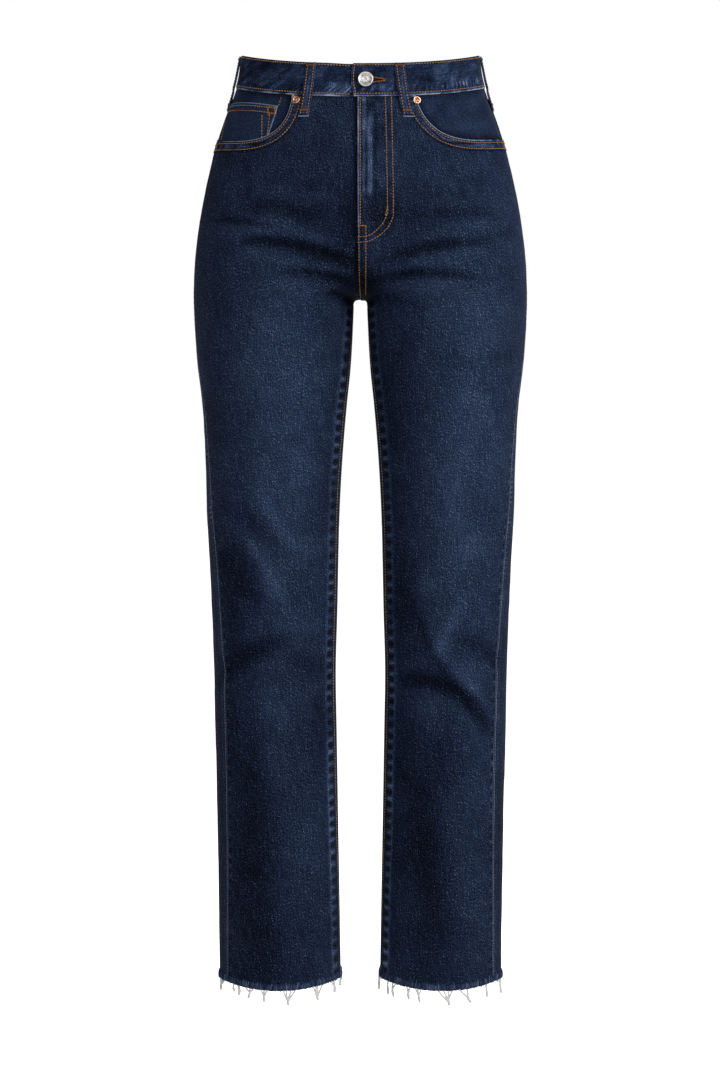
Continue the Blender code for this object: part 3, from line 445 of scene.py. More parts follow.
def bare_ring(half, around, height):
    """Points of the outer cloth before creasing. around runs from 0 at the centre front or the inseam, past 1
    at the side, to 2 at the centre back or the inseam."""
    around = np.where(height < CROTCH, np.mod(around, 2.0), np.clip(around, 0.0, 2.0))
    front = around < 1
    share = np.where(front, around, 2 - around)
    outer = column(SECTIONS, "outer", height)
    inner = column(SECTIONS, "inner", height)
    depth = np.where(front, column(SECTIONS, "front", height), column(SECTIONS, "back", height))

    legs = ease((TRUNK_ENDS - height) / (TRUNK_ENDS - LEGS_BEGIN))
    middle, reach = (outer + inner) / 2, (outer - inner) / 2
    x = (1 - legs) * (inner + (outer - inner) * np.sin(math.pi / 2 * share))
    x = x + legs * (middle - reach * np.cos(math.pi * share))

    rise = np.where(front, FRONT_RISE_CURVE, BACK_RISE_CURVE)
    above = np.clip((height - CROTCH) / rise, 0, 1)
    closing = 1 - np.sqrt(np.clip(1 - (1 - above) ** 2, 0, 1))
    soft = inner + np.sqrt((x - inner) ** 2 + (CLEFT_ROUND * (1 - closing)) ** 2)
    leg = depth * rounded((soft - middle) / reach, LEG_POWER)

    # The legs meet in a small arch at the crotch. The front seam lies to the wearer's right of the middle.
    opened = np.sqrt(1 - (1 - np.clip((CROTCH - height) / SADDLE_DEPTH, 0, 1)) ** 2)
    x = x - inner * (1 - opened) * (1 - share) ** 3
    x = x - np.where(front, half * FLY_SHIFT * (1 - np.sqrt(closing)) * (1 - share) ** 2, 0.0)
    trunk = depth * rounded(x / outer, TRUNK_POWER)
    weight = legs + (closing - legs) * (1 - ease(np.abs(x) / CLEFT_REACH))
    y = (1 - weight) * trunk + weight * leg

    dips = ease((height - DIP_STARTS) / (BAND_FOOT - DIP_STARTS))
    forward = rounded(x / outer, TRUNK_POWER) ** DIP_POWER
    z = height - dips * forward * np.where(front, FRONT_DIP, -BACK_RISE)
    return np.stack([half * x, np.where(front, -y, y), z - WAIST_HEIGHT], axis=-1)


def normals(half, around, height):
    """Outward normals of the bare ring, from its points a little way to each side."""
    step_round, step_up = 0.02, 0.0008
    along = bare_ring(half, around + step_round, height) - bare_ring(half, around - step_round, height)
    up = bare_ring(half, around, height + step_up) - bare_ring(half, around, height - step_up)
    normal = np.cross(along, up) * half
    return normal / np.linalg.norm(normal, axis=-1, keepdims=True)


def cloth(half, around, height, lift=0.0):
    """Points on the creased cloth moved out by lift, their normals, and the painted light of its relief:
    painted shade in the crease troughs and ripple dips, painted highlight on the crease ridges and ripple
    bumps.
    """
    around, height = np.broadcast_arrays(np.asarray(around, float), np.asarray(height, float))
    shape = around.shape
    around, height = around.ravel(), height.ravel()
    point = bare_ring(half, around, height)
    normal = normals(half, around, height)
    turned = np.mod(around, 2.0) < 1
    level = point[:, 2] + WAIST_HEIGHT
    front, back = crease(FRONT_FOLDS, point[:, 0], level), crease(BACK_FOLDS, half * point[:, 0], level)
    facing = np.clip(np.abs(normal[:, 1]) * 1.6, 0, 1)
    move, dark = (facing * np.where(turned, a, b) for a, b in zip(front, back))
    share = np.where(turned, np.mod(around, 2.0), 2 - np.mod(around, 2.0))
    loose = ease(share / 0.12) * ease((BAND_FOOT - height) / 0.03)
    seed = 40 if half == 1 else 60
    ripple = 0.6 * uneven_cloth(0.17 * around, 0.45 * height, 0.021, seed)
    ripple += 0.4 * uneven_cloth(0.17 * around, height, 0.011, seed + 1)
    move = move + RIPPLE * ripple * loose
    # Painted light from the relief: ripple bumps paler and dips darker, with the creases' painted shade and
    # highlight
    wear = 0.25 * ripple * loose - dark
    lift = np.broadcast_to(np.asarray(lift, float), shape).ravel()
    point = point + normal * (move + lift)[:, None]
    return point.reshape(*shape, 3), normal.reshape(*shape, 3), wear.reshape(shape)


def around_at(half, x, height, back=False):
    """The place round the ring whose distance from the middle is x."""
    low, high = np.full_like(height, 1.0 if back else 0.0), np.full_like(height, 2.0 if back else 1.0)
    for _ in range(26):
        mid = (low + high) / 2
        inside = half * bare_ring(half, mid, height)[..., 0] < x
        if back:
            inside = ~inside
        low, high = np.where(inside, mid, low), np.where(inside, high, mid)
    return (low + high) / 2


def place_at(half, x, z, back=False):
    """How far round and up the ring a point lies that shows at x from the middle and z above the hems."""
    x, z = (np.array(v, float) for v in np.broadcast_arrays(x, z))
    height = z.copy()
    for _ in range(6):
        around = around_at(half, x, height, back)
        height = height + z - (bare_ring(half, around, height)[..., 2] + WAIST_HEIGHT)
    return around_at(half, x, height, back), height


def height_at(half, around, z):
    """How far up the ring a point lies that is z above the hems."""
    height = np.array(z, float)
    for _ in range(8):
        height = height + z - (bare_ring(half, around, height)[..., 2] + WAIST_HEIGHT)
    return height


def seam_edges(heights, face):
    """Where a panel starts and ends round each height."""
    outseam = 1 - column(SEAM_TURNS, "outseam", heights) / 180
    inseam = np.where(heights >= CROTCH, 0.0, column(SEAM_TURNS, "inseam", heights) / 180)
    return (inseam, outseam) if face == "front" else (outseam, 2 + inseam)


def lengths(points, axis):
    """How far along the grid each point lies, down its rows or across its columns."""
    steps = np.linalg.norm(np.diff(points, axis=axis), axis=-1)
    first = np.zeros_like(np.take(steps, [0], axis=axis))
    return np.concatenate([first, np.cumsum(steps, axis=axis)], axis=axis)


def spread(count):
    """Shares from 0 to 1 that lie closer together at both ends."""
    even = np.linspace(0, 1, count)
    return even - 0.62 * np.sin(2 * math.pi * even) / (2 * math.pi)


def hem_rise(around):
    """How far the raw edge draws up between the middle of the front or back and the side."""
    middle = np.abs(np.sin(math.pi * around))
    return FRONT_LIFT * (middle - middle**2) + SIDE_LIFT * (1 - middle)


# Relief and paler strips beside seams, and spots of fading and painted light


def pucker(along, pitch, seed):
    """Uneven puckers beside a row of stitches, from -1 in a dip to 1 on a ridge."""
    sway = uneven(along, 3.1 * pitch, seed)
    strength = 0.7 + 0.3 * uneven(along, 2.3 * pitch, seed + 1)
    return strength * np.sin(2 * math.pi * (along / pitch + 0.30 * sway))


def between(distance, low, high, soft=0.0012):
    """1 inside a strip beside an edge and 0 outside it."""
    return ease((distance - low) / soft) * ease((high - distance) / soft)


def layer(away, width, thick, soft=0.0014):
    """The lift of a layer of cloth folded under beside an edge."""
    return thick * (1 - ease((away - width) / soft))


def faded(spots, x, height):
    """How much paler the cloth is, from fading and from painted light and shade, given by a table of spots."""
    total = np.zeros_like(x)
    for spot in spots:
        across = (x - spot.x - spot.lean * (height - spot.height)) / spot.wide
        total += spot.amount * np.exp(-(across**2) - ((height - spot.height) / spot.tall) ** 2)
    return total


# Colours and finishes


def seen(red, green, blue):
    """The surface colour that shows on a screen as these 0 to 255 values under the studio light."""
    share = np.array([red, green, blue]) / 255
    linear = np.where(share <= 0.04045, share / 12.92, ((share + 0.055) / 1.055) ** 2.4)
    return (*(float(v) for v in linear / LIGHT_LEVEL), 1.0)


def put(tree, kind, feeds=(), **settings):
    """A node of a tree with its settings, whose inputs take links or fixed values."""
    made = tree.nodes.new(kind)
    for name, value in settings.items():
        setattr(made, name, value)
    for place, value in dict(feeds).items():
        socket = made.inputs[place]
        if isinstance(value, bpy.types.NodeSocket):
            tree.links.new(value, socket)
        else:
            socket.default_value = value
    return made


def multiply_add(tree, first, second, third):
    return put(tree, "ShaderNodeMath", {0: first, 1: second, 2: third}, operation="MULTIPLY_ADD").outputs[0]


def texture(tree, vector, size, turn=0.0, detail=2.0, roughness=0.5):
    """A soft noise from 0 to 1 whose grains have that width and length, turned by an angle."""
    place = mapped(tree, vector, size, turn)
    feeds = {"Vector": place, "Scale": 1.0, "Detail": detail, "Roughness": roughness}
    return put(tree, "ShaderNodeTexNoise", feeds).outputs["Fac"]


def mapped(tree, vector, size, turn):
    feeds = {"Vector": vector, "Rotation": (0.0, 0.0, turn), "Scale": size}
    return put(tree, "ShaderNodeMapping", feeds, vector_type="TEXTURE").outputs[0]


def raise_surface(tree, shader, height, strength, distance):
    raised = put(tree, "ShaderNodeBump", {"Strength": strength, "Distance": distance, "Height": height})
    tree.links.new(raised.outputs[0], shader.inputs["Normal"])


def finish(name, roughness, metallic=0.0, specular=0.5):
    made = bpy.data.materials.new(name)
    made.use_nodes = True
    shader = made.node_tree.nodes["Principled BSDF"]
    shader.inputs["Roughness"].default_value = roughness
    shader.inputs["Metallic"].default_value = metallic
    shader.inputs["Specular IOR Level"].default_value = specular
    return made, made.node_tree, shader


def ramp(tree, factor, stops):
    """Colours along a factor, from (place, colour) pairs."""
    made = put(tree, "ShaderNodeValToRGB", {"Fac": factor})
    elements = made.color_ramp.elements
    while len(elements) < len(stops):
        elements.new(0.5)
    for element, (place, colour) in zip(elements, stops):
        element.position = place
        element.color = colour
    return made.outputs["Color"]


def denim(name, stops, streaks=1.85, mottle=0.14, bump=0.22):
    """Worn indigo twill: slanting streaks, slubs down the warp, a soft mottle, and the piece's own fading
    together with its painted light and shade, which share one attribute.
    """
    made, tree, shader = finish(name, roughness=0.9, specular=0.05)
    grain = put(tree, "ShaderNodeUVMap", uv_map="grain").outputs[0]
    fade = put(tree, "ShaderNodeAttribute", attribute_name="fade").outputs["Fac"]
    layers = (
        (texture(tree, grain, (0.00062, 0.0020, 1.0), TWILL_LEAN, 2.0, 0.6), streaks),
        (texture(tree, grain, (0.00080, 0.0010, 1.0), TWILL_LEAN, 1.0), 0.50 * streaks),
        (texture(tree, grain, (0.0012, 0.0220, 1.0), 0.0, 2.0), 0.22 * streaks),
        (texture(tree, grain, (0.0060, 0.0085, 1.0), 0.3, 3.0, 0.6), mottle),
        (texture(tree, grain, (0.0300, 0.0420, 1.0), 0.2, 2.0), 0.8 * mottle),
    )
    grains = -0.5 * sum(amount for _, amount in layers)
    for grain_layer, amount in layers:
        grains = multiply_add(tree, grain_layer, amount, grains)
    contrast = multiply_add(tree, fade, -0.5, 1.0)
    level = multiply_add(tree, grains, contrast, multiply_add(tree, fade, 0.34, 0.439))
    tree.links.new(ramp(tree, level, stops), shader.inputs["Base Color"])
    ribs = mapped(tree, grain, (0.0011, 0.0011, 1.0), TWILL_LEAN)
    wave = put(tree, "ShaderNodeTexWave", {"Vector": ribs, "Scale": 0.5, "Distortion": 1.2, "Detail": 1.0})
    weave = multiply_add(tree, wave.outputs["Fac"], 0.5, layers[0][0])
    raise_surface(tree, shader, weave, bump, 0.0005)
    return made


def thread(name, pale, dark, roughness=0.7):
    """Twisted sewing thread, a little uneven in its dye."""
    made, tree, shader = finish(name, roughness=roughness, specular=0.3)
    place = put(tree, "ShaderNodeTexCoord").outputs["Object"]
    patches = texture(tree, place, (0.0016, 0.0016, 0.0016), 0.0, 2.0)
    tree.links.new(ramp(tree, patches, ((0.30, dark), (0.70, pale))), shader.inputs["Base Color"])
    twist = texture(tree, place, (0.0004, 0.0004, 0.0002), 0.6, 1.0)
    raise_surface(tree, shader, twist, 0.4, 0.0002)
    return made


def metal(name, bright, dull, dark, roughness):
    """Brushed metal with a soft tarnish, and painted shade that darkens it in its ring grooves and on its
    outer rim.
    """
    made, tree, shader = finish(name, roughness=roughness, metallic=1.0)
    place = put(tree, "ShaderNodeTexCoord").outputs["Object"]
    tarnish = texture(tree, place, (0.003, 0.003, 0.003), 0.0, 3.0)
    groove = put(tree, "ShaderNodeAttribute", attribute_name="groove").outputs["Fac"]
    level = multiply_add(tree, groove, -0.45, tarnish)
    stops = ((0.05, (*dark, 1.0)), (0.3, (*dull, 1.0)), (0.65, (*bright, 1.0)))
    tree.links.new(ramp(tree, level, stops), shader.inputs["Base Color"])
    scratches = texture(tree, place, (0.0025, 0.0002, 0.0002), 0.5, 2.0)
    limits = {"Value": scratches, "To Min": roughness * 0.75, "To Max": roughness * 1.35}
    tree.links.new(put(tree, "ShaderNodeMapRange", limits).outputs[0], shader.inputs["Roughness"])
    raise_surface(tree, shader, scratches, 0.12, 0.0001)
    return made


INDIGO = (
    (0.00, seen(2, 4, 10)),
    (0.20, seen(7, 13, 26)),
    (0.42, seen(21, 31, 53)),
    (0.62, seen(39, 53, 80)),
    (0.80, seen(65, 83, 115)),
    (1.00, seen(158, 171, 192)),
)
REVERSE = ((0.00, seen(30, 38, 55)), (0.50, seen(78, 90, 112)), (1.00, seen(150, 160, 175)))
FRAYED = (
    (0.00, seen(10, 15, 28)),
    (0.30, seen(28, 39, 62)),
    (0.55, seen(48, 62, 90)),
    (0.80, seen(84, 102, 134)),
    (1.00, seen(140, 155, 180)),
)
INDIGO_DENIM = denim("worn_indigo_denim", INDIGO)
FACING_DENIM = denim("shaded_indigo_denim", INDIGO, streaks=1.35, mottle=0.16)
BAND_DENIM = denim("waistband_denim", INDIGO, streaks=1.40, mottle=0.40)
INSIDE_DENIM = denim("denim_reverse", REVERSE, streaks=0.9, mottle=0.5)
FRAYED_DENIM = denim("frayed_denim_edge", FRAYED, streaks=0.9, mottle=0.5)
ORANGE_THREAD = thread("copper_brown_thread", seen(222, 162, 80), seen(146, 102, 52))
TACK_THREAD = thread("bright_tack_thread", seen(226, 146, 62), seen(176, 104, 42))
PALE_THREAD = thread("pale_thread", seen(150, 156, 176), seen(96, 104, 128))
BROWN_THREAD = thread("leg_seam_thread", seen(232, 196, 156), seen(166, 132, 100))
LOOSE_THREAD = thread("loose_hem_thread", seen(244, 238, 236), seen(218, 212, 210), roughness=0.85)
NICKEL = metal("brushed_nickel_button", (0.78, 0.75, 0.71), (0.60, 0.575, 0.55), (0.24, 0.225, 0.21), 0.48)
COPPER = metal("copper_rivets", (0.66, 0.35, 0.23), (0.50, 0.25, 0.16), (0.20, 0.085, 0.05), 0.32)
INDIGO_CLOTH = (INDIGO_DENIM, INSIDE_DENIM)
SHADED_CLOTH = (FACING_DENIM, INSIDE_DENIM)


# Making pieces


def add_piece(name, mesh, finishes):
    for item in finishes:
        mesh.materials.append(item)
    made = bpy.data.objects.new(name, mesh)
    bpy.context.scene.collection.objects.link(made)
    return made


def sheet_of_cloth(name, outer, inner, fade, grain, finishes, ring=False):
    """A closed sheet between a grid of outer points and one of inner points: rows by columns by 3."""
    rows, columns = outer.shape[:2]
    count = rows * columns
    points = np.concatenate([outer.reshape(-1, 3), inner.reshape(-1, 3)])
    index = np.arange(count).reshape(rows, columns)
    if ring:
        index = np.concatenate([index, index[:, :1]], axis=1)
    quads = np.stack([index[:-1, :-1], index[:-1, 1:], index[1:, 1:], index[1:, :-1]], axis=-1).reshape(-1, 4)
    if ring:
        rims = [index[0], index[-1, ::-1]]
    else:
        rims = [np.concatenate([index[0], index[1:, -1], index[-1, -2::-1], index[-2::-1, 0]])]
    walls = [np.stack([r[1:], r[:-1], r[:-1] + count, r[1:] + count], axis=-1) for r in rims]
    faces = np.concatenate([quads, quads[:, ::-1] + count, *walls])
    side = np.concatenate([np.zeros(len(quads)), np.ones(len(quads)), np.zeros(sum(map(len, walls)))])
    a, b, c, d = (points[faces[:, k]] for k in range(4))
    volume = (np.cross(b, c) * a).sum() + (np.cross(c, d) * a).sum()
    if volume < 0:
        faces = faces[:, ::-1]
    mesh = bpy.data.meshes.new(name)
    mesh.from_pydata(points.tolist(), [], faces.tolist())
    tone_shift = mesh.attributes.new("fade", "FLOAT", "POINT")
    tone_shift.data.foreach_set("value", np.tile(fade.ravel(), 2).astype(np.float32))
    corners = np.empty(len(mesh.loops), np.int32)
    mesh.loops.foreach_get("vertex_index", corners)
    threads = np.tile(grain.reshape(-1, 2), (2, 1))
    mesh.uv_layers.new(name="grain").data.foreach_set("uv", threads[corners].astype(np.float32).ravel())
    mesh.polygons.foreach_set("material_index", side.astype(np.int32))
    mesh.shade_smooth()
    mesh.set_sharp_from_angle(angle=math.radians(55))
    return add_piece(name, mesh, finishes)


def grain_of(half, outer, height):
    """Where each point lies in the flat cloth, in metres across, to the right as it is seen, and up."""
    across = lengths(outer, 1)
    return np.stack([half * (across - across[:, -1:] / 2), height], axis=-1)


def edged(half, point, normal, level):
    """The panel's long edges drawn in a little, so that neighbours don't touch, and at the front and back
    rise the wall's inner side kept from crossing the seam."""
    for edge, beside in ((0, 1), (-1, -2)):
        inwards = point[:, beside] - point[:, edge]
        inwards /= np.linalg.norm(inwards, axis=-1, keepdims=True)
        point[:, edge] += inwards * EDGE_INSET
        rise = (np.abs(point[:, edge, 0]) < 0.004) & (level[:, edge] >= CROTCH)
        away = half * normal[:, edge, 0]
        normal[:, edge, 0] = half * np.where(rise, np.minimum(away, 0), away)
        normal[:, edge] /= np.linalg.norm(normal[:, edge], axis=-1, keepdims=True)
    return point, normal


def panel_grid(half, around, height):
    """A panel's points, normals and the painted light of its creases, and how far each point lies from its
    start and end edges.
    """
    point, normal, wear = cloth(half, around, height)
    point, normal = edged(half, point, normal, height)
    across = lengths(point, 1)
    return point, normal, wear, across, across[:, -1:] - across


def made_panel(name, finishes, thickness, half, surface, lift, fade, level, edges=(None, None), grain=None):
    """The sheet on a surface of points and normals, raised by lift, with what its seams need."""
    point, normal = surface
    outer = point + normal * lift[..., None]
    if grain is None:
        grain = grain_of(half, point, level)
    piece = sheet_of_cloth(name, outer, point - normal * thickness, fade, grain, finishes)
    return Panel(piece, outer, normal, level, *edges)


def panel_rows():
    """Heights of a panel's rows, closest where the legs meet."""
    below = np.arange(HEM, CROTCH - 0.011, ROW_STEP)
    meeting = np.linspace(CROTCH - 0.010, CROTCH + 0.010, 25)
    above = np.arange(CROTCH + 0.0125, SCOOP_BASE - 0.001, ROW_STEP)
    return np.concatenate([below, meeting, above])


def scoop_line(half, steps=170):
    """The pocket's edge from the waistband to the side seam: places round and up the ring, and its points."""
    t = np.linspace(0, 1, steps)[:, None]
    a, b, c, d = (np.array(p) for p in SCOOPS[half])
    curve = (1 - t) ** 3 * a + 3 * t * (1 - t) ** 2 * b + 3 * t**2 * (1 - t) * c + t**3 * d
    around, height = place_at(half, curve[:, 0], curve[:, 1])
    top = BAND_FOOT - SEAM_GAP
    kept = (height <= top) & (around < 0.9995)
    around, height = around[kept], height[kept]
    around, height = np.append(around, 1.0), np.append(height, height[-1])
    return around, height, bare_ring(half, around, height)


def mouth_edge(half, share):
    """The front panel's upper edge, along the waistband and round the pocket, at shares of its length."""
    around, height, _ = scoop_line(half)
    top = BAND_FOOT - SEAM_GAP
    flat = np.linspace(0, around[0], 60)[:-1]
    around, height = np.concatenate([flat, around]), np.concatenate([np.full(len(flat), top), height])
    height[len(flat)] = top
    length = lengths(bare_ring(half, around, height)[None], 1)[0]
    corner = length[len(flat)] / length[-1]
    pivot = share[int(np.argmin(np.abs(share - corner)))]
    before, after = share * corner / pivot, 1 - (1 - share) * (1 - corner) / (1 - pivot)
    placed = np.where(share <= pivot, before, after) * length[-1]
    return np.interp(placed, length, around), np.interp(placed, length, height)


def beside_line(points, line):
    """How far each point lies from a line, and how far along the line its nearest place is."""
    along = lengths(line[None], 1)[0]
    apart = np.linalg.norm(points.reshape(-1, 1, 3) - line[None], axis=-1)
    nearest = apart.argmin(axis=1)
    away = apart[np.arange(len(nearest)), nearest]
    return away.reshape(points.shape[:-1]), along[nearest].reshape(points.shape[:-1])


def inside_fly(x, z):
    """1 where the fly's facing lies behind the left front, inside the J of stitches."""
    line = sorted(J_OUTER, key=lambda p: p[1])
    limit = np.interp(z, [p[1] for p in line], [p[0] for p in line])
    return ease((limit + 0.0015 - x) / 0.0020) * ease((z - 0.7862) / 0.003)


def front_cloth(half, side):
    share = spread(PANEL_COLUMNS)
    low = panel_rows()
    start, end = seam_edges(low, "front")
    around = start[:, None] + (end - start)[:, None] * share
    height = np.broadcast_to(low[:, None], around.shape)
    around_top, height_top = mouth_edge(half, share)
    rise = 1 - (1 - np.linspace(0, 1, MOUTH_ROWS)[1:, None]) ** 1.6
    around = np.concatenate([around, around[-1] + (around_top - around[-1]) * rise])
    height = np.concatenate([height, low[-1] + (height_top - low[-1]) * rise])
    point, normal, wear, from_start, from_end = panel_grid(half, around, height)
    x, z = point[..., 0], point[..., 2] + WAIST_HEIGHT
    fade = faded(FRONT_FADES_AND_PAINTED_LIGHT, x, z) + wear
    seed = 100 if half == 1 else 200

    # Inseam
    leg = ease((CROTCH - 0.002 - height) / 0.012)
    aside = np.abs(x - x[:, :1])
    ridges = pucker(height, 0.0122, seed) * between(aside, 0.0012, 0.0078, 0.0018) * leg
    lift = leg * (layer(aside, 0.0075, 0.00045) + 0.00036 * ridges)
    fade += leg * (0.55 * bell(aside - 0.0078, 0.0013) - 0.10 * between(aside, 0.0006, 0.0070))
    fade += 1.25 * ridges
    # Painted shade along the inseam's edge, strongest on the wearer's left leg, whose inner side faces away
    # from the key light
    fade -= leg * (0.9 if half == 1 else 0.1) * bell(aside, 0.0011)
    fade += 0.30 * ease((0.28 - height) / 0.06) * between(aside, 0.0025, 0.0090)

    # Outseam
    hip = 1 - ease((height - 0.880) / 0.02)
    ridges = pucker(height, 0.0122, seed + 7) * between(from_end, 0.0016, 0.0070, 0.0020)
    lift += 0.00022 * ridges * hip - 0.00045 * bell(from_end, 0.0006)
    edges = 1.50 * bell(from_end - 0.0006, 0.0008) - 0.3 * bell(from_end - 0.0024, 0.0012)
    fade += hip * (0.95 * ridges + edges)

    if half == 1:
        # Fly, with the zip's two ridges behind it
        above = ease((height - CROTCH - 0.01) / 0.03)
        fly = inside_fly(x, z)
        zip_reach = ease((z - 0.826) / 0.012)
        inner_ridge = between(x, 0.0008, 0.0062, 0.0012) * (0.85 + 0.25 * uneven(z, 0.006, 78))
        outer_ridge = between(x, 0.0066, 0.0136, 0.0009) * ease((0.926 - z) / 0.012)
        lift += 0.0009 * bell(x + FLY_SHIFT, 0.007) * above + 0.00040 * fly
        lift += zip_reach * 0.00045 * (inner_ridge + outer_ridge)
        fade += zip_reach * (0.80 * inner_ridge + 0.88 * outer_ridge - 0.7 * bell(x - 0.0065, 0.0007))
        fade -= zip_reach * 0.45 * bell(x - 0.0152, 0.0016)
        fade += fly * 0.35 * uneven_cloth(x, z, 0.006, 77)
        worn_edge = 0.8 + 1.3 * ease((z - 0.790) / 0.02)
        fade += above * worn_edge * bell(from_start - 0.0007, 0.0008)
        fade -= above * 0.6 * bell(from_start - 0.0030, 0.0009)
    else:
        # Painted shadow under the fly's edge, where it laps over this panel
        fade -= 1.3 * ease((height - CROTCH - 0.004) / 0.02) * bell(from_start, 0.0042)

    # Pocket edge
    away, along = beside_line(bare_ring(half, around, height), scoop_line(half)[2])
    ridges = pucker(along, 0.0044, seed + 3) * between(away, 0.0026, 0.0088)
    outside = pucker(along, 0.0060, seed + 5) * between(away, 0.0112, 0.0175)
    lift += layer(away, 0.0098, 0.00050) - 0.00045 * bell(away, 0.0006) + 0.00014 * ridges + 0.00012 * outside
    fade += 2.8 * bell(away - 0.0001, 0.0006) + 0.95 * ridges - 0.65 * bell(away - 0.0112, 0.0012)
    fade += 0.12 * between(away, 0.0030, 0.0100) + 0.22 * outside

    # Below the waistband, with painted shadow just under its edge, and the raw hem
    below = BAND_FOOT - height
    fade += 0.22 * between(below, 0.004, 0.016, 0.004) * uneven(x, 0.0045, seed + 9)
    # A paler raw hem, and a painted shadow just under the waistband
    fade += 0.25 * ease((0.004 - height) / 0.004) - 0.50 * bell(below, 0.0030)
    surface, edges = (point, normal), (from_start, from_end)
    return made_panel(f"front_{side}_cloth", INDIGO_CLOTH, CLOTH, half, surface, lift, fade, height, edges)


def yoke_drop(share):
    """How far below the waistband the yoke seam lies, from 0 at the side to 1 at the centre back."""
    return YOKE_AT_SIDE + (YOKE_AT_CENTRE - YOKE_AT_SIDE) * share


def felled_seam(height, away, seed):
    """The two folded layers of the centre back seam: their puckers, and the lift of the layer."""
    return pucker(height, 0.0064, seed) * between(away, 0.0012, 0.0088), layer(away, 0.0090, 1.0)


def back_cloth(half, side):
    share = spread(PANEL_COLUMNS)
    low = panel_rows()
    low = low[low < BACK_SETTLES]
    seam = BAND_FOOT - yoke_drop(share) - SEAM_GAP
    rise = np.linspace(0, 1, RISE_ROWS + 1)[1:, None]
    leg_rows = np.broadcast_to(low[:, None], (len(low), len(share)))
    height = np.concatenate([leg_rows, low[-1] + (seam - low[-1]) * rise])
    start, end = seam_edges(np.concatenate([low, np.full(RISE_ROWS, BACK_SETTLES)]), "back")
    around = start[:, None] + (end - start)[:, None] * share
    point, normal, wear, from_start, from_end = panel_grid(half, around, height)
    fade = faded(BACK_FADES, half * point[..., 0], point[..., 2] + WAIST_HEIGHT) + wear
    seed = 300 if half == 1 else 400

    # Outseam
    ladder = pucker(height, 0.0056, seed) * between(from_start, 0.0010, 0.0088)
    lift = layer(from_start, 0.0090, 0.00045) + 0.00022 * ladder - 0.00040 * bell(from_start, 0.0006)
    fade += 1.05 * ladder * ease((height - 0.40) / 0.10) + 0.25 * between(from_start, 0.0006, 0.0092)
    fade -= 0.5 * bell(from_start - 0.0104, 0.0012)

    # Inseam, and the felled seam up the centre back
    leg = ease((CROTCH - 0.002 - height) / 0.012)
    ridges = pucker(height, 0.0122, seed + 7) * between(from_end, 0.0010, 0.0060)
    lift += leg * (0.00012 * ridges - 0.00040 * bell(from_end, 0.0006))
    fade += leg * (0.30 * ridges - 0.8 * (1 - ease(from_end / 0.014)))
    if half == 1:
        ridges, raised = felled_seam(height, from_end, seed + 9)
        lift += (1 - leg) * (0.00050 * raised + 0.00016 * ridges)
        fade += (1 - leg) * (0.40 * ridges + 0.22 * between(from_end, 0.0006, 0.0092))
        fade -= (1 - leg) * 0.5 * bell(from_end - 0.0104, 0.0012)
    below = seam[None, :] - height
    fade += 0.35 * pucker(from_start, 0.0060, seed + 11) * between(below, 0.001, 0.007)
    fade -= 0.5 * bell(below, 0.0012)
    surface, edges = (point, normal), (from_start, from_end)
    return made_panel(f"back_{side}_cloth", INDIGO_CLOTH, CLOTH, half, surface, lift, fade, height, edges)


def yoke_cloth(half, side):
    share = spread(PANEL_COLUMNS)
    top, foot = BAND_FOOT - SEAM_GAP, BAND_FOOT - yoke_drop(share)
    height = top + (foot - top) * np.linspace(0, 1, RISE_ROWS + 1)[:, None]
    around = np.broadcast_to(1 + share, height.shape)
    point, normal, wear, from_start, from_end = panel_grid(half, around, height)
    above = height - foot
    seed = 500 if half == 1 else 600
    ridges = pucker(from_start, 0.0060, seed) * between(above, 0.0012, 0.0088)
    lift = layer(above, 0.0090, 0.00050) + 0.00016 * ridges
    fade = wear + 0.40 * ridges + 0.9 * bell(above, 0.0009) - 0.45 * bell(above - 0.0104, 0.0012)
    # Painted shadow just under the waistband
    fade -= 0.4 * bell(BAND_FOOT - height, 0.0030)
    if half == 1:
        ridges, raised = felled_seam(height, from_end, seed + 9)
        lift += 0.00040 * raised + 0.00014 * ridges
        fade += 0.35 * ridges
    surface, edges = (point, normal), (from_start, from_end)
    return made_panel(f"yoke_{side}_cloth", INDIGO_CLOTH, CLOTH, half, surface, lift, fade, height, edges)


def facing_cloth(half, side):
    """The denim inside a front pocket, behind the panel."""
    first, _ = place_at(half, FACING_INNER, 0.92)
    around = first + (1 - first) * np.linspace(0, 1, 60)
    around, height = np.meshgrid(around, np.linspace(FACING_FOOT + 0.004, BAND_FOOT - SEAM_GAP, 34))
    point, normal, _ = cloth(half, around, height, lift=-FACING_BEHIND[half])
    away, _ = beside_line(bare_ring(half, around, height), scoop_line(half)[2])
    fade = (0.26 if half < 0 else 0.12) + 0.25 * uneven_cloth(point[..., 0], height, 0.012, 31)
    # Painted shadow under the waistband and under the pocket edge of the front panel
    fade -= 0.35 * bell(BAND_FOOT - height, 0.0035) + 0.75 * bell(away, 0.0045)
    name, flat = f"pocket_facing_{side}_cloth", np.zeros_like(fade)
    return made_panel(name, SHADED_CLOTH, FACING_CLOTH, half, (point, normal), flat, fade, height)


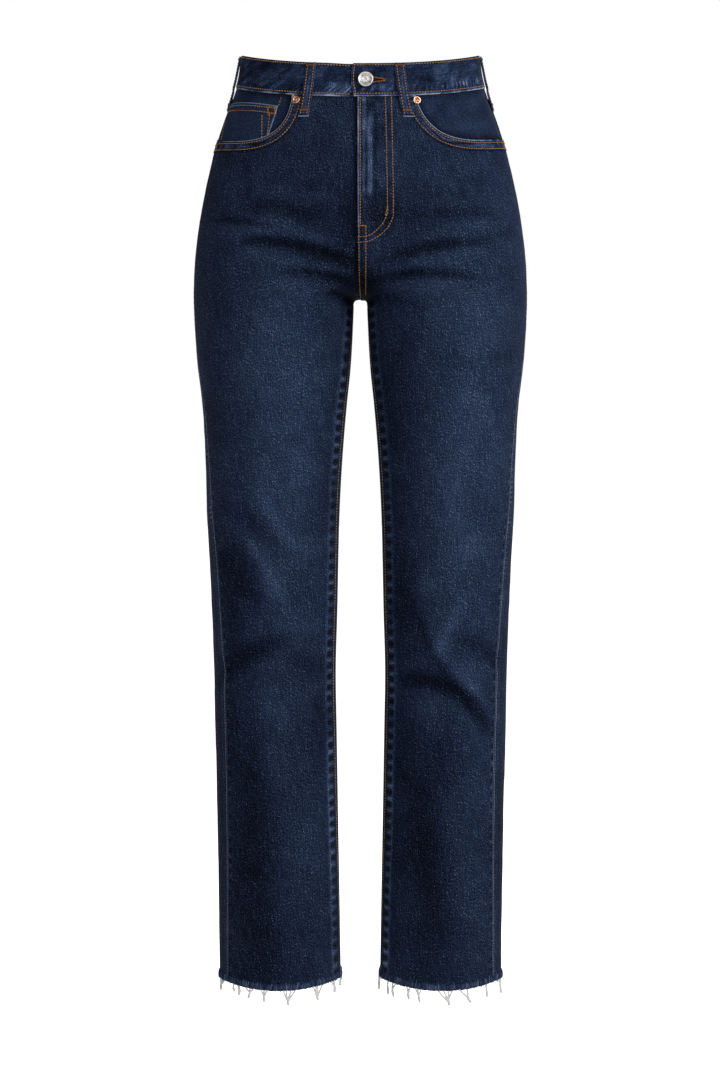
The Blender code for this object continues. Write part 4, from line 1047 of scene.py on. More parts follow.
def coin_part(name, edges, low, high, rows, thickness, proud=0.0):
    """A part of the small pocket on the right facing: its body, or the hem that stands proud at its mouth."""
    half, hemmed = -1, proud > 0
    up = np.linspace(0, 1, rows)[:, None]
    middle = (low + high) / 2
    first, _ = place_at(half, np.linspace(*edges, rows), np.full(rows, middle))
    around = first[:, None] + (1 - first)[:, None] * np.linspace(0, 1, 50)
    x = np.abs(bare_ring(half, around, np.full_like(around, middle))[..., 0])
    slope = COIN_RISES * (x - COIN_CORNER[0])
    z_low = low + slope * hemmed
    height = height_at(half, around, z_low + (high + slope - z_low) * up)
    point, normal, _ = cloth(half, around, height, lift=proud - CLOTH - SEAM_GAP)
    across = lengths(point, 1)
    rim = np.minimum(across, 0.02)
    from_low, from_high = up * (high - low), (1 - up) * (high - low)
    ridge = pucker(across, 0.0040, 812) * between(from_low, 0.0016, 0.0070) * hemmed
    lift = 0.00010 * ridge - 0.00030 * bell(rim, 0.0005)
    fade = 0.30 + 0.80 * ridge + 1.1 * bell(rim, 0.0008) - 0.3 * bell(rim - 0.0040, 0.0015)
    fade += hemmed * (1.5 * bell(from_high, 0.0008) + 0.5 * bell(from_low, 0.0009))
    return made_panel(name, SHADED_CLOTH, thickness, half, (point, normal), lift, fade, height).piece


def back_pocket_cloth(half, side):
    """A five-sided patch on the seat."""
    share = np.linspace(0, 1, 52)
    side_depth, point_depth = POCKET_DEPTHS
    top_width, foot_width = POCKET_WIDTHS
    depth = side_depth + (point_depth - side_depth) * (1 - np.abs(2 * share - 1))
    z = POCKET_TOP - depth * np.linspace(1, 0, 56)[:, None]
    narrowing = np.clip((POCKET_TOP - z) / side_depth, 0, 1.2)
    wide = (top_width + (foot_width - top_width) * narrowing) / 2
    around, height = place_at(half, POCKET_CENTRE + (2 * share - 1) * wide, z, back=True)
    point, normal, wear = cloth(half, around, height, lift=0.0005 + SEAM_GAP + POCKET_CLOTH)
    across, down = lengths(point, 1), lengths(point, 0)
    edge = np.minimum(np.minimum(across, across[:, -1:] - across), down)
    mouth = down[-1:] - down
    ridges = pucker(down + across, 0.0052, 71 if half == 1 else 73) * between(edge, 0.0012, 0.0075)
    hem = pucker(across, 0.0050, 75) * between(mouth, 0.0015, 0.0125)
    lift = 0.00012 * ridges + layer(mouth, 0.0135, 0.00035, 0.0012) + 0.00010 * hem
    lift -= 0.00040 * bell(edge, 0.0006)
    fade = 0.15 + wear + 0.35 * ridges + 0.35 * hem + 0.9 * bell(edge, 0.0009) + 1.2 * bell(mouth, 0.0009)
    fade -= 0.4 * bell(mouth - 0.0150, 0.0012)
    name, surface = f"back_pocket_{side}_cloth", (point, normal)
    return made_panel(name, INDIGO_CLOTH, POCKET_CLOTH, half, surface, lift, fade, height, (across, edge))


def band_stations():
    """Columns round the waistband as (half, distances round at each row, how far under)."""
    rows = np.linspace(0, 1, BAND_GRID)
    level = np.full(BAND_GRID, WAIST_HEIGHT)
    end = 0.0078 + 0.0018 * np.sin(math.pi * np.clip(rows * 1.15, 0, 1)) - 0.0010 * ease((rows - 0.8) / 0.2)
    lap = FLY_SHIFT + 0.0003
    jog, clear = (around_at(-1, BAND_OVERLAP + more, level) for more in (BAND_JOG, 0.002))
    stations = [(-1, around_at(-1, end + (lap - end) * t, level), 0.0) for t in np.linspace(0, 1, 8)]
    stations += [(1, np.full(BAND_GRID, a), 0.0) for a in np.linspace(0, 2, 140)]
    stations += [(-1, np.full(BAND_GRID, a), 0.0) for a in np.linspace(2, jog[0], 122)[1:]]
    stations += [(-1, jog + (clear - jog) * t, float(ease(t))) for t in np.linspace(0, 1, 13)[1:]]
    stations += [(1, around_at(1, x, level), 1.0) for x in np.linspace(0.004, BAND_UNDERLAP, 8)]
    return stations


def band_cloth():
    heights = np.linspace(BAND_TOP, BAND_FOOT, BAND_GRID)
    columns = []
    for half, around, under in band_stations():
        lift = BAND_PROUD - under * (BAND_THICKNESS + SEAM_GAP)
        columns.append(cloth(half, around, heights, lift=lift)[:2])
    point, normal = (np.stack(part, axis=1) for part in zip(*columns))
    along = lengths(point, 1)
    down = np.broadcast_to((BAND_TOP - heights)[:, None], along.shape)
    up = BAND_HEIGHT - down
    rows_below = pucker(along, 0.0046, 21) * between(up, 0.0030, 0.0115, 0.003)
    rows_above = pucker(along, 0.0060, 23) * between(down, 0.0028, 0.0080, 0.003)
    rim = np.minimum(np.minimum(down, up), along)
    lift = 0.00018 * rows_below + 0.00008 * rows_above - 0.00070 * bell(rim, 0.0007)
    lift += 0.00030 * uneven_cloth(along, down, 0.014, 25) * between(rim, 0.003, 1.0, 0.004)
    wearer_left = ease((point[..., 0] + 0.02) / 0.06)
    fade = 0.20 * wearer_left - 0.05 + 0.90 * rows_below + 0.25 * rows_above
    fade += 0.45 * bell(point[..., 0] + 0.030, 0.020) * (point[..., 1] < 0)
    fade += 1.45 * bell(up, 0.0008) + 0.35 * bell(down, 0.0008) + 1.3 * bell(along, 0.0009)
    fade += 0.50 * uneven_cloth(along, down, 0.0085, 27) + 0.40 * uneven_cloth(along, 1.4 * down, 0.0038, 29)
    fade += 0.25 * between(up, 0.004, 0.016, 0.004)
    surface, edges, grain = (point, normal), (along, up), np.stack([down, along], axis=-1)
    finishes = (BAND_DENIM, BAND_DENIM)
    return made_panel("waistband_cloth", finishes, BAND_THICKNESS, 1, surface, lift, fade, down, edges, grain)


def loop_cloth(loop):
    """A strap tacked at the top of the waistband and below it, standing off between the tacks."""
    share = np.linspace(0, 1, 44)
    top, foot = BAND_TOP - 0.0008, BAND_FOOT - LOOP_DROP
    heights = top + (foot - top) * share
    base, normal, _ = cloth(loop.half, loop.top + (loop.foot - loop.top) * share, heights)
    tangent = np.cross(normal, (0.0, 0.0, 1.0))
    tangent /= np.linalg.norm(tangent, axis=-1, keepdims=True)
    on_band = BAND_PROUD * ease((heights - BAND_FOOT + 0.004) / 0.004)
    stand = LOOP_SLACK * np.sin(math.pi * np.clip((share - 0.06) / 0.84, 0, 1)) ** 0.8
    centre = base + normal * (SEAM_GAP + LOOP_CLOTH + on_band + stand)[:, None]
    across = np.linspace(-0.5, 0.5, 13) * LOOP_WIDTH
    point = centre[:, None, :] + tangent[:, None, :] * across[None, :, None]
    normal = np.broadcast_to(normal[:, None, :], point.shape)
    down = lengths(point, 0)
    across = np.broadcast_to(across, down.shape)
    from_foot = down[-1:] - down
    rim = np.minimum(LOOP_WIDTH / 2 - np.abs(across), np.minimum(down, from_foot))
    rows = pucker(down, 0.0034, 41) * between(rim, 0.0010, 0.0040)
    lift = 0.00010 * rows - 0.00045 * bell(rim, 0.0006) + 0.00025 * bell(across, 0.0022)
    fade = 0.20 + 0.45 * rows + 0.6 * bell(rim, 0.0006) - 0.60 * bell(rim - 0.0016, 0.0006)
    fade += 0.30 * bell(across, 0.0016) + 0.30 * uneven_cloth(across, down, 0.004, 43)
    fade += 0.9 * bell(from_foot, 0.0008)
    surface, edges, grain = (point, normal), (across, None), np.stack([across, down], axis=-1)
    finishes = (BAND_DENIM, INSIDE_DENIM)
    return made_panel(f"{loop.name}_cloth", finishes, LOOP_CLOTH, 1, surface, lift, fade, down, edges, grain)


# Sewing


def begun(title, inputs, made):
    """A tree of nodes with named inputs, what a modifier calls each of them, and the inputs themselves."""
    tree = bpy.data.node_groups.new(title, "GeometryNodeTree")
    names = {}
    for name, kind in inputs:
        names[name] = tree.interface.new_socket(name, in_out="INPUT", socket_type=kind).identifier
    tree.interface.new_socket(made, in_out="OUTPUT", socket_type="NodeSocketGeometry")
    return tree, names, put(tree, "NodeGroupInput").outputs


def ended(tree, geometry, material):
    """The end of a tree of nodes: its instances made real, smooth, with their finish."""
    real = put(tree, "GeometryNodeRealizeInstances", {"Geometry": geometry})
    smooth = put(tree, "GeometryNodeSetShadeSmooth", {"Geometry": real.outputs[0]})
    done = put(tree, "GeometryNodeSetMaterial", {"Geometry": smooth.outputs[0], "Material": material})
    put(tree, "NodeGroupOutput", {0: done.outputs[0]})


def stitch_tree():
    """Short rounded stitches spaced along every row."""
    sizes = [(name, "NodeSocketFloat") for name in ("Stitch Pitch", "Half Stitch Length", "Thread Radius")]
    inputs = [("Rows", "NodeSocketGeometry"), *sizes, ("Thread", "NodeSocketMaterial")]
    tree, names, begin = begun("stitches_along_rows", inputs, "Stitches")
    line = put(tree, "GeometryNodeMeshToCurve", {"Mesh": begin["Rows"]})
    feeds = {"Curve": line.outputs[0], "Length": begin["Stitch Pitch"]}
    spaced = put(tree, "GeometryNodeResampleCurve", feeds, mode="LENGTH")
    along = put(tree, "GeometryNodeInputTangent")
    turn = put(tree, "FunctionNodeAlignRotationToVector", {"Vector": along.outputs[0]}, axis="X")
    bead = put(tree, "GeometryNodeMeshUVSphere", {"Segments": 6, "Rings": 5, "Radius": 1.0})
    feeds = {"X": begin["Half Stitch Length"], "Y": begin["Thread Radius"], "Z": begin["Thread Radius"]}
    size = put(tree, "ShaderNodeCombineXYZ", feeds)
    feeds = {"Points": spaced.outputs[0], "Instance": bead.outputs["Mesh"]}
    feeds |= {"Rotation": turn.outputs[0], "Scale": size.outputs[0]}
    ended(tree, put(tree, "GeometryNodeInstanceOnPoints", feeds).outputs[0], begin["Thread"])
    return tree, names


def thread_tree():
    """A round thread along every line, as thick as its own points say."""
    inputs = [("Lines", "NodeSocketGeometry"), ("Thread Sides", "NodeSocketInt")]
    inputs.append(("Thread", "NodeSocketMaterial"))
    tree, names, begin = begun("threads_along_lines", inputs, "Threads")
    line = put(tree, "GeometryNodeMeshToCurve", {"Mesh": begin["Lines"]})
    thick = put(tree, "GeometryNodeInputNamedAttribute", {"Name": "thickness"}, data_type="FLOAT")
    ring = put(tree, "GeometryNodeCurvePrimitiveCircle", {"Resolution": begin["Thread Sides"], "Radius": 1.0})
    feeds = {"Curve": line.outputs[0], "Profile Curve": ring.outputs["Curve"], "Fill Caps": True}
    tube = put(tree, "GeometryNodeCurveToMesh", feeds | {"Scale": thick.outputs["Attribute"]})
    ended(tree, tube.outputs[0], begin["Thread"])
    return tree, names


def line_mesh(name, lines, **measures):
    """A mesh of open lines only, and measures of each line or of its points, as attributes."""
    points, edges = [], []
    for line in lines:
        first = len(points)
        points += [tuple(p) for p in line]
        edges += [(first + i, first + i + 1) for i in range(len(line) - 1)]
    mesh = bpy.data.meshes.new(name)
    mesh.from_pydata(points, edges, [])
    for measure, values in measures.items():
        if values is None:
            continue
        spread_out = [np.broadcast_to(value, len(line)) for value, line in zip(values, lines)]
        made = mesh.attributes.new(measure, "FLOAT", "POINT")
        made.data.foreach_set("value", np.concatenate(spread_out).astype(np.float32))
    return mesh


def grown(name, mesh, tree, settings):
    """The plain mesh that a tree of nodes grows on a mesh of lines."""
    seedling = add_piece(name, mesh, ())
    modifier = seedling.modifiers.new("grow", "NODES")
    modifier.node_group, names = tree
    for title, value in settings.items():
        modifier[names[title]] = value
    bpy.context.view_layer.update()
    evaluated = seedling.evaluated_get(bpy.context.evaluated_depsgraph_get())
    made = bpy.data.meshes.new_from_object(evaluated)
    made.name = name
    seedling.modifiers.clear()
    seedling.data = made
    return seedling


def search_tree(piece):
    mesh = piece.data
    points = [v.co.copy() for v in mesh.vertices]
    return BVHTree.FromPolygons(points, [tuple(p.vertices) for p in mesh.polygons])


def laid_on(trees, points, ways, proud=0.0002):
    """Points moved along their normals to lie on the outermost of some pieces."""
    settled = []
    for point, way in zip(points, ways):
        point, way = Vector(point), Vector(way)
        hits = [tree.ray_cast(point + way * 0.010, -way, 0.024)[0] for tree in trees]
        hits = [hit for hit in hits if hit is not None]
        best = max(hits, key=lambda hit: (hit - point).dot(way)) if hits else point
        settled.append(best + way * proud)
    return settled


def smooth_path(points, step):
    """A soft curve through a few points, sampled at about that step."""
    points = np.array(points, float)
    ends = np.concatenate([[2 * points[0] - points[1]], points, [2 * points[-1] - points[-2]]])
    path = []
    for a, b, c, d in zip(ends, ends[1:], ends[2:], ends[3:]):
        count = max(2, int(np.linalg.norm(c - b) / step))
        t = np.linspace(0, 1, count, endpoint=False)[:, None]
        curve = 2 * b + (c - a) * t + (2 * a - 5 * b + 4 * c - d) * t**2 + (3 * b - a - 3 * c + d) * t**3
        path.append(0.5 * curve)
    return np.concatenate([*path, points[-1:]])


def square_on(half, points, step=0.0012):
    """A soft curve through points seen square on, as places on the cloth and their normals."""
    path = smooth_path(points, step)
    around, height = place_at(half, half * path[:, 0], path[:, 1])
    return cloth(half, around, height)[:2]


def trace(points, values, level):
    """On each line of a grid, the point where the values reach a level."""
    k = np.argmax(values >= level, axis=1)
    found = (values.max(axis=1) >= level) & (k > 0)
    rows = np.arange(len(k))[found]
    k = k[found]
    low, high = values[rows, k - 1], values[rows, k]
    t = ((level - low) / (high - low))[:, None]
    return points[rows, k - 1] * (1 - t) + points[rows, k] * t


def trace_down(points, values, level):
    """The same on each column of a grid."""
    return trace(points.transpose(1, 0, 2), values.T, level)


def beside(points, ways, distance):
    """A line moved sideways over the surface, to its left as seen from outside."""
    along = np.gradient(points, axis=0)
    along /= np.linalg.norm(along, axis=-1, keepdims=True)
    aside = np.cross(ways, along)
    return points + aside / np.linalg.norm(aside, axis=-1, keepdims=True) * distance


def zigzag(centre, along, across, length, width, turns):
    """One thread laid to and fro over a bar tack."""
    line = []
    for k, t in enumerate(np.linspace(-0.5, 0.5, turns)):
        swing = 0.5 if k % 2 else -0.5
        line.append(Vector(centre) + Vector(along) * (t * length) + Vector(across) * (swing * width))
    return line


STITCHES, THREADS = stitch_tree(), thread_tree()
rows = {"orange": [], "pale": [], "brown": []}
tacks, tack_thick = [], []


def sew(colour, line):
    if len(line) > 2:
        rows[colour].append(list(line))


def lay(line, thick=0.00030):
    tacks.append(line)
    tack_thick.append(thick)


def tack(trees, half, start, end, width):
    """A bar tack from start to end, seen square on, x in the world: one thread to and fro over the cloth."""
    point, normal = square_on(half, (start, end), 0.0004)
    point = np.array(laid_on(trees, point, normal, 0.0003))
    centre, way = Vector(point.mean(axis=0)), Vector(normal[len(normal) // 2])
    along = Vector(point[-1]) - Vector(point[0])
    length = along.length
    along.normalize()
    line = zigzag(centre, along, way.cross(along), length, width, max(6, int(length / TACK_GAP)))
    lay(laid_on(trees, line, [way] * len(line), 0.00035))


def sew_onto(trees, half, curves, tacked):
    """Rows and bar tacks from their tables."""
    for curve in curves:
        sew("orange", laid_on(trees, *square_on(half, curve)))
    for start, end, width in tacked:
        tack(trees, half, start, end, width)


def sewn(name, lines, thread_used, pitch=0.0031, length=0.00115, radius=0.00040):
    settings = {"Stitch Pitch": pitch, "Half Stitch Length": length}
    settings |= {"Thread Radius": radius, "Thread": thread_used}
    return grown(name, line_mesh(name, lines), STITCHES, settings)


def spun(name, lines, thickness, thread_used, sides=5, fade=None):
    mesh = line_mesh(name, lines, thickness=thickness, fade=fade)
    return grown(name, mesh, THREADS, {"Thread Sides": sides, "Thread": thread_used})


# Metal


def turned(name, profile, grooves, centre, axis, sides, finishes):
    """A round piece from (radius, height) points, from its axis at the back round to it at the front."""
    place = Matrix.Translation(Vector(centre)) @ Vector(axis).to_track_quat("Z", "Y").to_matrix().to_4x4()
    points, rings, tone_shift = [], [], []
    for radius, height in profile:
        turns = [0.0] if radius == 0 else [2 * math.pi * k / sides for k in range(sides)]
        rings.append(list(range(len(points), len(points) + len(turns))))
        points += [place @ Vector((radius * math.cos(a), radius * math.sin(a), height)) for a in turns]
        # The groove attribute: painted shade in the ring grooves and on the outer rim
        tone_shift += [float(sum(bell(radius - groove, 0.0005) for groove in grooves))] * len(turns)
    faces = []
    for low, high in zip(rings, rings[1:]):
        for k in range(sides):
            j = (k + 1) % sides
            if len(low) == 1:
                faces.append((low[0], high[j], high[k]))
            elif len(high) == 1:
                faces.append((low[k], low[j], high[0]))
            else:
                faces.append((low[k], low[j], high[j], high[k]))
    mesh = bpy.data.meshes.new(name)
    mesh.from_pydata(points, [], faces)
    mesh.attributes.new("groove", "FLOAT", "POINT").data.foreach_set("value", tone_shift)
    mesh.shade_smooth()
    mesh.set_sharp_from_angle(angle=math.radians(50))
    return add_piece(name, mesh, finishes)


def waist_place(half, across, height):
    around = around_at(half, np.array([across]), np.array([height]))
    point, normal, _ = cloth(half, around, np.array([height]))
    return point[0], normal[0]


# Frayed hems


def hem_band(half, side, rng):
    around = np.linspace(0, 2, HEM_STEPS, endpoint=False)
    base, normal, _ = cloth(half, around, HEM_LINE)
    share = np.linspace(0, 1, HEM_ROWS)[:, None]
    frill = rng.uniform(-1, 1, HEM_STEPS)
    drop = 0.0010 + hem_rise(around) + (FRAY_FOOT - 0.0010) * share - 0.0004 * frill * share**2
    out = FRAY_OUT * np.sin(math.pi * (0.06 + 0.80 * share)) ** 0.8 * (1 + 0.12 * np.roll(frill, 7))
    outer = base + normal * out[..., None]
    inner = base - normal * (FRAY_IN * (0.9 - 0.3 * share))[..., None]
    outer[..., 2] = inner[..., 2] = drop - WAIST_HEIGHT
    streak = rng.uniform(-1, 1, HEM_STEPS)
    fade = 0.15 + 0.65 * streak * ease(share / 0.3) - 2.2 * bell(1 - share, 0.12) - 0.4 * bell(share, 0.15)
    grain = np.stack([np.broadcast_to(half * lengths(base[None], 1), drop.shape), drop], axis=-1)
    finishes = (FRAYED_DENIM, FRAYED_DENIM)
    return sheet_of_cloth(f"frayed_hem_{side}_band", outer, inner, fade, grain, finishes, ring=True)


def hem_fringe(half, side, rng):
    """Short ends of the weft that lie over the band and stick out below it."""
    lines, thick, tone_shift = [], [], []
    for place in np.sort(rng.uniform(0, 2, FRINGE_ENDS)):
        at, way, _ = cloth(half, np.array([place, place + rng.normal(0, 0.006)]), HEM_LINE)
        rise = float(hem_rise(place))
        top = rise + rng.uniform(0.0002, 0.0028)
        bottom = rise + FRAY_FOOT - max(0.0, rng.normal(0.0001, 0.0006))
        path = []
        for t in np.linspace(0, 1, 5):
            bulge = 0.0004 + FRAY_OUT * math.sin(math.pi * (0.06 + 0.80 * t)) ** 0.8
            point = at[0] * (1 - t) + at[1] * t + way[0] * bulge
            point[2] = top + (bottom - top) * t - WAIST_HEIGHT
            path.append(point)
        lines.append(path)
        thick.append(rng.uniform(0.00016, 0.00028))
        tone_shift.append(rng.normal(0.45, 0.6))
    return spun(f"frayed_hem_{side}_fringe", lines, thick, FRAYED_DENIM, sides=4, fade=tone_shift)


def hem_locks(half, rng):
    """Locks of pale loose thread: as seen at the front, and others like them round the back."""
    locks = [lock for lock in FRONT_LOCKS if lock.half == half]
    placed = [(float(around_at(half, lock.x, np.array([HEM_LINE]))[0]), lock) for lock in locks]
    for spot in np.linspace(1.10, 1.94, 8) + rng.uniform(-0.035, 0.035, 8):
        placed.append((float(spot), locks[rng.integers(2, len(locks) - 1)]))
    strands = []
    for spot, lock in placed:
        at, way, _ = cloth(half, np.array([spot, spot + 0.004]), HEM_LINE)
        sideways = (at[1] - at[0]) * (1, 1, 0)
        sideways /= np.linalg.norm(sideways)
        if spot < 1:
            sideways *= half
        centre = at[0] + way[0] * 0.0010
        ends = []
        for (across, down), lean in zip((lock.joint, lock.tip), rng.uniform(-0.0006, 0.0014, 2)):
            end = centre + sideways * across / 1000 + way[0] * lean
            end[2] = FRAY_FOOT - down / 1000 - WAIST_HEIGHT
            ends.append(end)
        joint, tip = ends
        for root in lock.roots:
            start = centre + sideways * root / 1000
            start[2] = FRAY_FOOT + 0.0006 + float(hem_rise(spot)) - WAIST_HEIGHT
            bow = (start + joint) / 2 + sideways * rng.uniform(-0.0006, 0.0006)
            bow[2] = start[2] * 0.45 + joint[2] * 0.55
            for _ in range(1 if len(lock.roots) > 2 else 2):
                apart = sideways * rng.uniform(-0.00035, 0.00035)
                path = smooth_path([start, bow + apart, joint + apart, tip + 1.6 * apart], 0.0012)
                taper = np.interp(np.linspace(0, 1, len(path)), (0.0, 0.45, 0.65, 1.0), (0.85, 1.0, 1.4, 1.0))
                strands.append((path, rng.uniform(0.00100, 0.00115) * taper))
    return strands


# Making the jeans

fronts, backs, yokes, facings, pockets = {}, {}, {}, {}, {}
for half, side in SIDES:
    fronts[half] = front_cloth(half, side)
    backs[half] = back_cloth(half, side)
    yokes[half] = yoke_cloth(half, side)
    facings[half] = facing_cloth(half, side)
    pockets[half] = back_pocket_cloth(half, side)
coin_top = COIN_CORNER[1] - COIN_BAND
coin_body = coin_part("coin_pocket_cloth", COIN_BODY, COIN_FOOT, coin_top + 0.001, 26, COIN_CLOTH)
mouth_edges = (COIN_CORNER[0], COIN_CORNER[0])
coin_mouth = coin_part("coin_pocket_hem", mouth_edges, coin_top, COIN_CORNER[1], 12, 0.0009, proud=0.0007)
band = band_cloth()
loops = {loop.name: loop_cloth(loop) for loop in LOOPS}

front_trees = {half: [search_tree(fronts[half].piece)] for half, _ in SIDES}
band_trees = [search_tree(band.piece)]
for half, side in SIDES:
    front, back, yoke, pocket = (panels[half] for panels in (fronts, backs, yokes, pockets))

    # Pocket edge: a row near it and a row where its layer ends
    around, height, line = scoop_line(half)
    line, ways = line[4:-1], normals(half, around, height)[4:-1]
    for inset in (0.0027, 0.0096):
        sew("orange", laid_on(front_trees[half], beside(line, ways, -half * inset), ways))
    tack(front_trees[half], half, (half * 0.1525, 0.9035), (half * 0.1530, 0.8945), 0.0016)

    # Long seams
    low = front.level[:, 0] < CROTCH - 0.006
    sew("brown", trace(front.outer[low], front.from_start[low], 0.0014))
    low = (front.level[:, 0] < 0.86).sum()
    sew("pale", trace(back.outer[:low], back.from_start[:low], 0.0006))

    # Yoke and centre back
    above = yoke.level - (BAND_FOOT - yoke_drop(spread(PANEL_COLUMNS)))
    for inset in (0.0020, 0.0078):
        sew("orange", trace_down(yoke.outer[::-1], above[::-1], inset))
    if half == 1:
        rise = back.level[:, -1] > CROTCH + 0.004
        for inset in (0.0020, 0.0078):
            sew("orange", trace(back.outer[rise][:, ::-1], back.from_end[rise][:, ::-1], inset))
            sew("orange", trace(yoke.outer[:, ::-1], yoke.from_end[:, ::-1], inset))

    # Back pocket: two rows round the edge and two along the hem
    edge = pocket.from_end
    middle = pocket.outer.shape[1] // 2
    for inset in (0.0020, 0.0082):
        sew("orange", trace(pocket.outer[:, :middle], edge[:, :middle], inset)[3:][::-1])
        mirrored = slice(None, middle - 1, -1)
        sew("orange", trace(pocket.outer[:, mirrored], edge[:, mirrored], inset)[3:][::-1])
        sew("orange", trace_down(pocket.outer, edge, inset)[3:-3])
    mouth = lengths(pocket.outer, 0)
    mouth = mouth[-1:] - mouth
    for inset in (0.0022, 0.0125):
        sew("orange", trace_down(pocket.outer[::-1], mouth[::-1], inset)[1:-1])

sew_onto(front_trees[1], 1, FLY_ROWS, FLY_TACKS)

# Waistband: along its top, its foot and its end
sew("orange", trace_down(band.outer[:, 3:-9], band.level[:, 3:-9], 0.0021))
sew("orange", trace_down(band.outer[::-1, 3:-9], band.from_end[::-1, 3:-9], 0.0026))
sew("orange", trace(band.outer[1:-1], band.from_start[1:-1], 0.0022))

for strap in loops.values():
    for across in (-0.0034, 0.0034):
        sew("orange", trace(strap.outer, strap.from_start, across)[3:-3])
    centre = strap.outer.shape[1] // 2
    for k in (2, -6):
        way = Vector(strap.normal[k, centre])
        aside = Vector(strap.outer[k, -1] - strap.outer[k, 0]).normalized()
        middle = Vector(strap.outer[k, centre]) + way * 0.0004
        lay(zigzag(middle, aside, way.cross(aside), 0.0088, 0.0019, 20), 0.00032)

coin_trees = [search_tree(piece) for piece in (coin_body, coin_mouth, facings[-1].piece)]
sew_onto(coin_trees, -1, COIN_ROWS, COIN_TACKS)

# Buttonhole: an eye and two close rows that end in a tack
button_at, button_way = (Vector(v) for v in waist_place(1, BUTTON_ACROSS, BUTTON_HEIGHT))
hole_across = Vector((0, 0, 1)).cross(button_way).normalized()
hole_up = button_way.cross(hole_across)
for sign in (1, -1):
    line = []
    for k in range(44):
        t = k / 43
        out = HOLE_EYE + (HOLE_END - HOLE_EYE) * t
        reach = 0.0022 * (1 - t) ** 1.3 + 0.0004 + 0.0011 * (k % 2)
        line.append(button_at + hole_across * out + hole_up * (sign * reach))
    lay(laid_on(band_trees, line, [button_way] * len(line), 0.00035))
line = zigzag(button_at + hole_across * HOLE_TACK, hole_across, hole_up, 0.0022, 0.0026, 8)
lay(laid_on(band_trees, line, [button_way] * len(line), 0.0004))

topstitching = sewn("topstitching", rows["orange"], ORANGE_THREAD)
seam_stitching = sewn("leg_seam_stitching", rows["brown"], BROWN_THREAD, radius=0.00034)
pale_stitching = sewn("outseam_stitching", rows["pale"], PALE_THREAD, length=0.0015, radius=0.00034)
bar_tacks = spun("bar_tacks_and_buttonhole", tacks, tack_thick, TACK_THREAD)

button_at = button_at + button_way * BAND_PROUD
button = turned("nickel_button", BUTTON_PROFILE, BUTTON_GROOVES, button_at, button_way, 64, (NICKEL,))
rivets = {}
for half, side in SIDES:
    point, normal = waist_place(half, RIVET_ACROSS[half], BAND_FOOT - RIVET_BELOW_BAND)
    point = point + normal * (SEAM_GAP + 0.0003)
    rivets[half] = turned(f"copper_rivet_{side}", RIVET_PROFILE, RIVET_GROOVES, point, normal, 40, (COPPER,))

hems, fringes, strands = {}, {}, []
for half, side in SIDES:
    rng = np.random.default_rng(71 if half == 1 else 72)
    hems[half] = hem_band(half, side, rng)
    fringes[half] = hem_fringe(half, side, rng)
    strands += hem_locks(half, rng)
loose_threads = spun("loose_hem_threads", *zip(*strands), LOOSE_THREAD)


# Each piece joined to the root, with the imported parts that it takes the place of hidden


def join_frame(piece, slot_name, *nodes):
    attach(piece, "root")
    if nodes:
        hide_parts(*nodes)


for half, side in SIDES:
    join_frame(fronts[half].piece, "indigo_denim", f"front_{side}")
    join_frame(backs[half].piece, "indigo_denim", f"back_{side}")
    join_frame(yokes[half].piece, "indigo_denim", f"yoke_{side}")
    join_frame(facings[half].piece, "facing_denim", f"pocket_facing_{side}")
    join_frame(pockets[half].piece, "indigo_denim", f"back_pocket_{side}")
    join_frame(rivets[half], "copper", f"rivet_{side}")
    join_frame(hems[half], "frayed_denim", f"frayed_hem_{side}")
    join_frame(fringes[half], "frayed_denim")
join_frame(coin_body, "indigo_denim", "coin_pocket")
join_frame(coin_mouth, "indigo_denim")
join_frame(band.piece, "indigo_denim", "waistband")
for loop in LOOPS:
    join_frame(loops[loop.name].piece, "indigo_denim", loop.name)
join_frame(button, "brushed_nickel", "shank_button")
for piece in (topstitching, seam_stitching, pale_stitching, bar_tacks):
    join_frame(piece, None)
join_frame(loose_threads, "frayed_denim")


# Studio


def grey(level):
    return (level, level, level, 1.0)


def area_light(name, place, size, watts):
    light = bpy.data.lights.new(name, "AREA")
    light.shape = "RECTANGLE"
    light.size, light.size_y = size
    light.energy = watts
    made = bpy.data.objects.new(name, light)
    bpy.context.scene.collection.objects.link(made)
    made.location = place
    made.rotation_mode = "QUATERNION"
    made.rotation_quaternion = (Vector((0.0, 0.0, -0.45)) - Vector(place)).to_track_quat("-Z", "Y")


def studio_air():
    """White to the camera and a soft blue-white to the jeans."""
    world = bpy.data.worlds.new("studio_world")
    bpy.context.scene.world = world
    world.use_nodes = True
    tree = world.node_tree
    tree.nodes.clear()
    looked_at = put(tree, "ShaderNodeLightPath").outputs["Is Camera Ray"]
    soft = put(tree, "ShaderNodeBackground", {"Color": (0.93, 0.96, 1.0, 1.0), "Strength": 0.22})
    white = put(tree, "ShaderNodeBackground", {"Color": grey(1.0), "Strength": 1.0})
    mixed = put(tree, "ShaderNodeMixShader", {0: looked_at, 1: soft.outputs[0], 2: white.outputs[0]})
    put(tree, "ShaderNodeOutputWorld", {"Surface": mixed.outputs[0]})


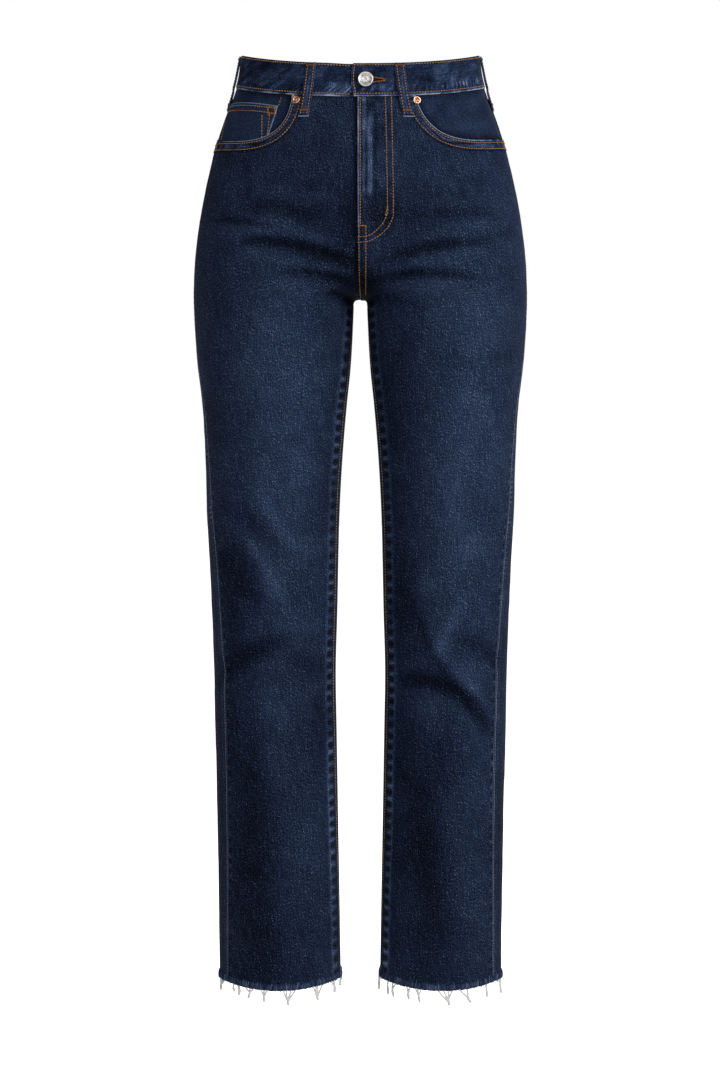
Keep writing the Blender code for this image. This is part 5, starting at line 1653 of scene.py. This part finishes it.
def studio_floor():
    """A white floor below the hems with a painted glow, though it is no lamp: full behind the jeans, where it
    also lights them, and to the camera alone growing with distance, full beyond about 1.1 m from the middle
    and none within 0.3 m.
    """
    ground = bpy.data.meshes.new("studio_floor")
    reach, depth = 30.0, -WAIST_HEIGHT - 0.36
    corners = [(x * reach, y * reach, depth) for x, y in ((-1, -1), (1, -1), (1, 1), (-1, 1))]
    ground.from_pydata(corners, [], [(0, 1, 2, 3)])
    made, tree, shader = finish("studio_floor_white", roughness=0.9, specular=0.1)
    place = put(tree, "ShaderNodeTexCoord").outputs["Object"]
    patches = texture(tree, place, (0.4, 0.4, 0.4), 0.0, 2.0)
    tree.links.new(ramp(tree, patches, ((0.3, grey(0.93)), (0.7, grey(0.95)))), shader.inputs["Base Color"])
    behind = put(tree, "ShaderNodeSeparateXYZ", {"Vector": place}).outputs["Y"]
    # Painted glow behind the jeans, which also lights their back and edges
    glow_behind = put(tree, "ShaderNodeMapRange", {"Value": behind, "From Min": 0.3, "From Max": 0.9}).outputs[0]
    # Painted glow seen by the camera alone, growing with distance from under the jeans
    away = put(tree, "ShaderNodeVectorMath", {0: place}, operation="LENGTH").outputs["Value"]
    reach_in = {"Value": away, "From Min": math.hypot(0.3, depth), "From Max": math.hypot(1.1, depth)}
    pale = put(tree, "ShaderNodeMapRange", reach_in).outputs[0]
    looked_at = put(tree, "ShaderNodeLightPath").outputs["Is Camera Ray"]
    shown = put(tree, "ShaderNodeMath", {0: pale, 1: looked_at}, operation="MULTIPLY").outputs[0]
    glow = put(tree, "ShaderNodeMath", {0: glow_behind, 1: shown}, operation="MAXIMUM")
    shader.inputs["Emission Color"].default_value = grey(1.0)
    tree.links.new(glow.outputs[0], shader.inputs["Emission Strength"])
    add_piece("studio_floor", ground, (made,))


studio_air()
area_light("key_light", (2.5, -2.3, 1.5), (1.2, 1.2), 108)
area_light("fill_light", (-0.9, -3.2, 0.4), (1.6, 2.0), 28)
area_light("back_light", (0.6, 2.8, 0.8), (2.0, 2.0), 40)
studio_floor()
scene = bpy.context.scene
scene.view_settings.view_transform = "Standard"

camera = bpy.data.objects.new("camera", bpy.data.cameras.new("camera"))
scene.collection.objects.link(camera)
camera.data.sensor_width = 36.0
camera.data.lens = 36.0 * 2300 / 1080
camera.location = (-0.0005, -2.5, 0.56 - WAIST_HEIGHT)
camera.rotation_euler = (math.pi / 2 - 0.0344, 0.0, 0.0)
scene.camera = camera
